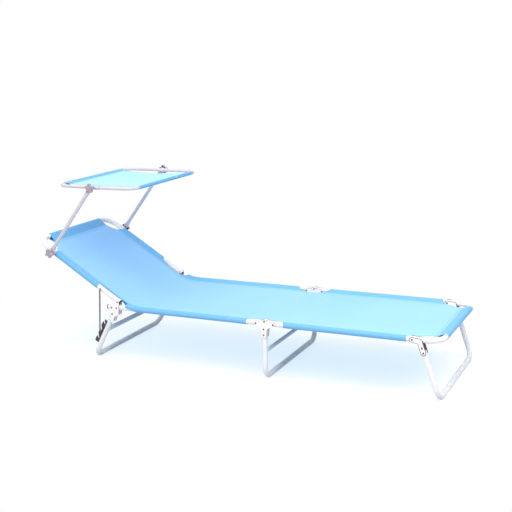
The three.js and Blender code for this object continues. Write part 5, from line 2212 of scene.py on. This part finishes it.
@dataclass(frozen=True)
class Lamp:
    """A square area lamp that faces its aim."""

    name: str
    at: Triple
    aim: Triple
    size: float
    power: float
    colour: Colour = (1.0, 1.0, 1.0)

    def add(self) -> None:
        """Adds the lamp, its back axis from aim to lamp and its first axis level across that."""
        data = bpy.data.lights.new(self.name, "AREA")
        data.shape, data.size, data.energy, data.color = "SQUARE", self.size, self.power, self.colour
        back = np.subtract(self.at, self.aim).astype(float)
        back /= np.linalg.norm(back)
        right = np.cross([0.0, 1.0, 0.0], back)
        right /= np.linalg.norm(right)
        stand(self.name, data, right, np.cross(back, right), back, self.at)


@dataclass
class Studio:
    """The camera at the photograph's angle, soft lamps from above and the pale floor."""

    eye: Triple = (1.74013, -3.81832, 1.36859)
    yaw: float = math.radians(24.241)
    pitch: float = math.radians(12.425)
    roll: float = math.radians(-1.056)
    lens: float = 69.956
    film: float = 36.0
    clip: float = 100.0
    sky: Colour = (0.95, 0.975, 1.0)
    ambient: float = 0.92
    dim: float = 0.45
    dim_from: float = 0.8
    floor_half: float = 60.0
    patch: tuple[float, float] = (0.75, 1.25)
    patch_shape: float = 0.55
    paper: Colour = (0.58, 0.59, 0.61)
    shade: Colour = (0.50, 0.30, 0.14)
    glow: Colour = (0.56, 0.75, 0.905)
    lamps: tuple[Lamp, ...] = (
        Lamp("key", (0.3, -1.7, 3.2), (0.1, -0.1, 0.2), 4.0, 73.0),
        Lamp("front", (1.9, -0.9, 2.3), (-0.6, 0.0, 0.45), 1.6, 34.0),
        Lamp("fill", (-1.6, -4.2, 1.9), (-0.2, 0.0, 0.3), 2.4, 22.0, (1.0, 0.99, 0.99)),
    )

    def camera(self) -> None:
        """Adds the camera: its axes are right, up and back, turned by the roll."""
        a, e = self.yaw, self.pitch
        back = np.array([math.sin(a) * math.cos(e), -math.cos(a) * math.cos(e), math.sin(e)])
        right = np.array([math.cos(a), math.sin(a), 0.0])
        up = np.cross(back, right)
        c, s = math.cos(self.roll), math.sin(self.roll)
        data = bpy.data.cameras.new("camera")
        data.lens, data.sensor_width, data.clip_end = self.lens, self.film, self.clip
        item = stand("camera", data, c * right + s * up, c * up - s * right, back, self.eye)
        bpy.context.scene.camera = item

    def world(self) -> None:
        """Sets the surroundings: white where seen or mirrored, else soft light that is dimmer towards +X."""
        world = bpy.data.worlds.new("surroundings")
        world.use_nodes = True
        bpy.context.scene.world = world
        tree = world.node_tree
        light, seen = tree.nodes["Background"], tree.nodes.new("ShaderNodeBackground")
        light.inputs["Color"].default_value = (*self.sky, 1.0)
        seen.inputs["Color"].default_value = (1.0, 1.0, 1.0, 1.0)
        kinds = ("TexCoord", "SeparateXYZ", "MapRange", "MixShader")
        way, split, dim, mix = (tree.nodes.new(f"ShaderNode{kind}") for kind in kinds)
        ends = {"From Min": 0.0, "From Max": self.dim_from, "To Min": self.ambient, "To Max": self.dim}
        for name, value in ends.items():
            dim.inputs[name].default_value = value
        for start, end in (
            (way.outputs["Generated"], split.inputs[0]), (split.outputs["X"], dim.inputs["Value"]),
            (dim.outputs["Result"], light.inputs["Strength"]), (seen_rays(tree), mix.inputs[0]),
            (light.outputs[0], mix.inputs[1]), (seen.outputs[0], mix.inputs[2]),
            (mix.outputs[0], tree.nodes["World Output"].inputs["Surface"]),
        ):
            tree.links.new(start, end)

    def floor(self) -> None:
        """Adds the floor: white where lit as the camera sees it, pale blue in the object's shade.

        Within arm's reach of the object it glows a pale blue, to which its own light adds up to white.
        Further away, where the lamps fade, it is plain white.
        """
        mesh = bpy.data.meshes.new("floor")
        r = self.floor_half
        mesh.from_pydata([(-r, -r, 0), (r, -r, 0), (r, r, 0), (-r, r, 0)], [], [[0, 1, 2, 3]])
        floor = bpy.data.objects.new("floor", mesh)
        bpy.context.scene.collection.objects.link(floor)
        b = Bench("floor_paper")
        tree = b.tree
        tree.nodes.remove(b.shader)
        x, y, _ = b.axes(b.place())
        away = ((x * x * self.patch_shape + y * y) ** 0.5).ramp(*self.patch)
        plain, shade, glow, white = (
            b.node(f"ShaderNode{kind}", None, {"Color": (*colour, 1.0)}).socket
            for kind, colour in (
                ("BsdfDiffuse", self.paper), ("BsdfDiffuse", self.shade), ("Emission", self.glow),
                ("Emission", (1.0, 1.0, 1.0)),
            )
        )
        kinds = ("AddShader", "MixShader", "MixShader")
        both, far, mix = (tree.nodes.new(f"ShaderNode{kind}") for kind in kinds)
        output = next(n for n in tree.nodes if n.type == "OUTPUT_MATERIAL")
        for start, end in (
            (glow, both.inputs[0]), (shade, both.inputs[1]), (away.socket, far.inputs[0]),
            (both.outputs[0], far.inputs[1]), (white, far.inputs[2]), (seen_rays(tree), mix.inputs[0]),
            (plain, mix.inputs[1]), (far.outputs[0], mix.inputs[2]),
            (mix.outputs[0], output.inputs["Surface"]),
        ):
            tree.links.new(start, end)
        mesh.materials.append(b.material)

    def build(self) -> None:
        """Sets up the studio."""
        self.camera()
        self.world()
        self.floor()
        for lamp in self.lamps:
            lamp.add()
        bpy.context.scene.view_settings.view_transform = "Standard"


def corners(box: tuple) -> list[list[float]]:
    """A box's corners as plain lists."""
    return [list(map(float, corner)) for corner in box]


def main() -> None:
    """Builds the lounger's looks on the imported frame."""
    logging.basicConfig(level=logging.INFO, format="%(name)s %(message)s")
    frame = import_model()
    Studio().build()
    finish = Finishes()
    SeatFrame().build(finish)
    Legs().build(frame, finish)
    FootFrame().build(finish)
    Backrest().build(finish)
    Canopy().build(finish)
    BedCloth().build(finish)
    HoodCloth().build(finish)


if __name__ == "__main__":
    main()
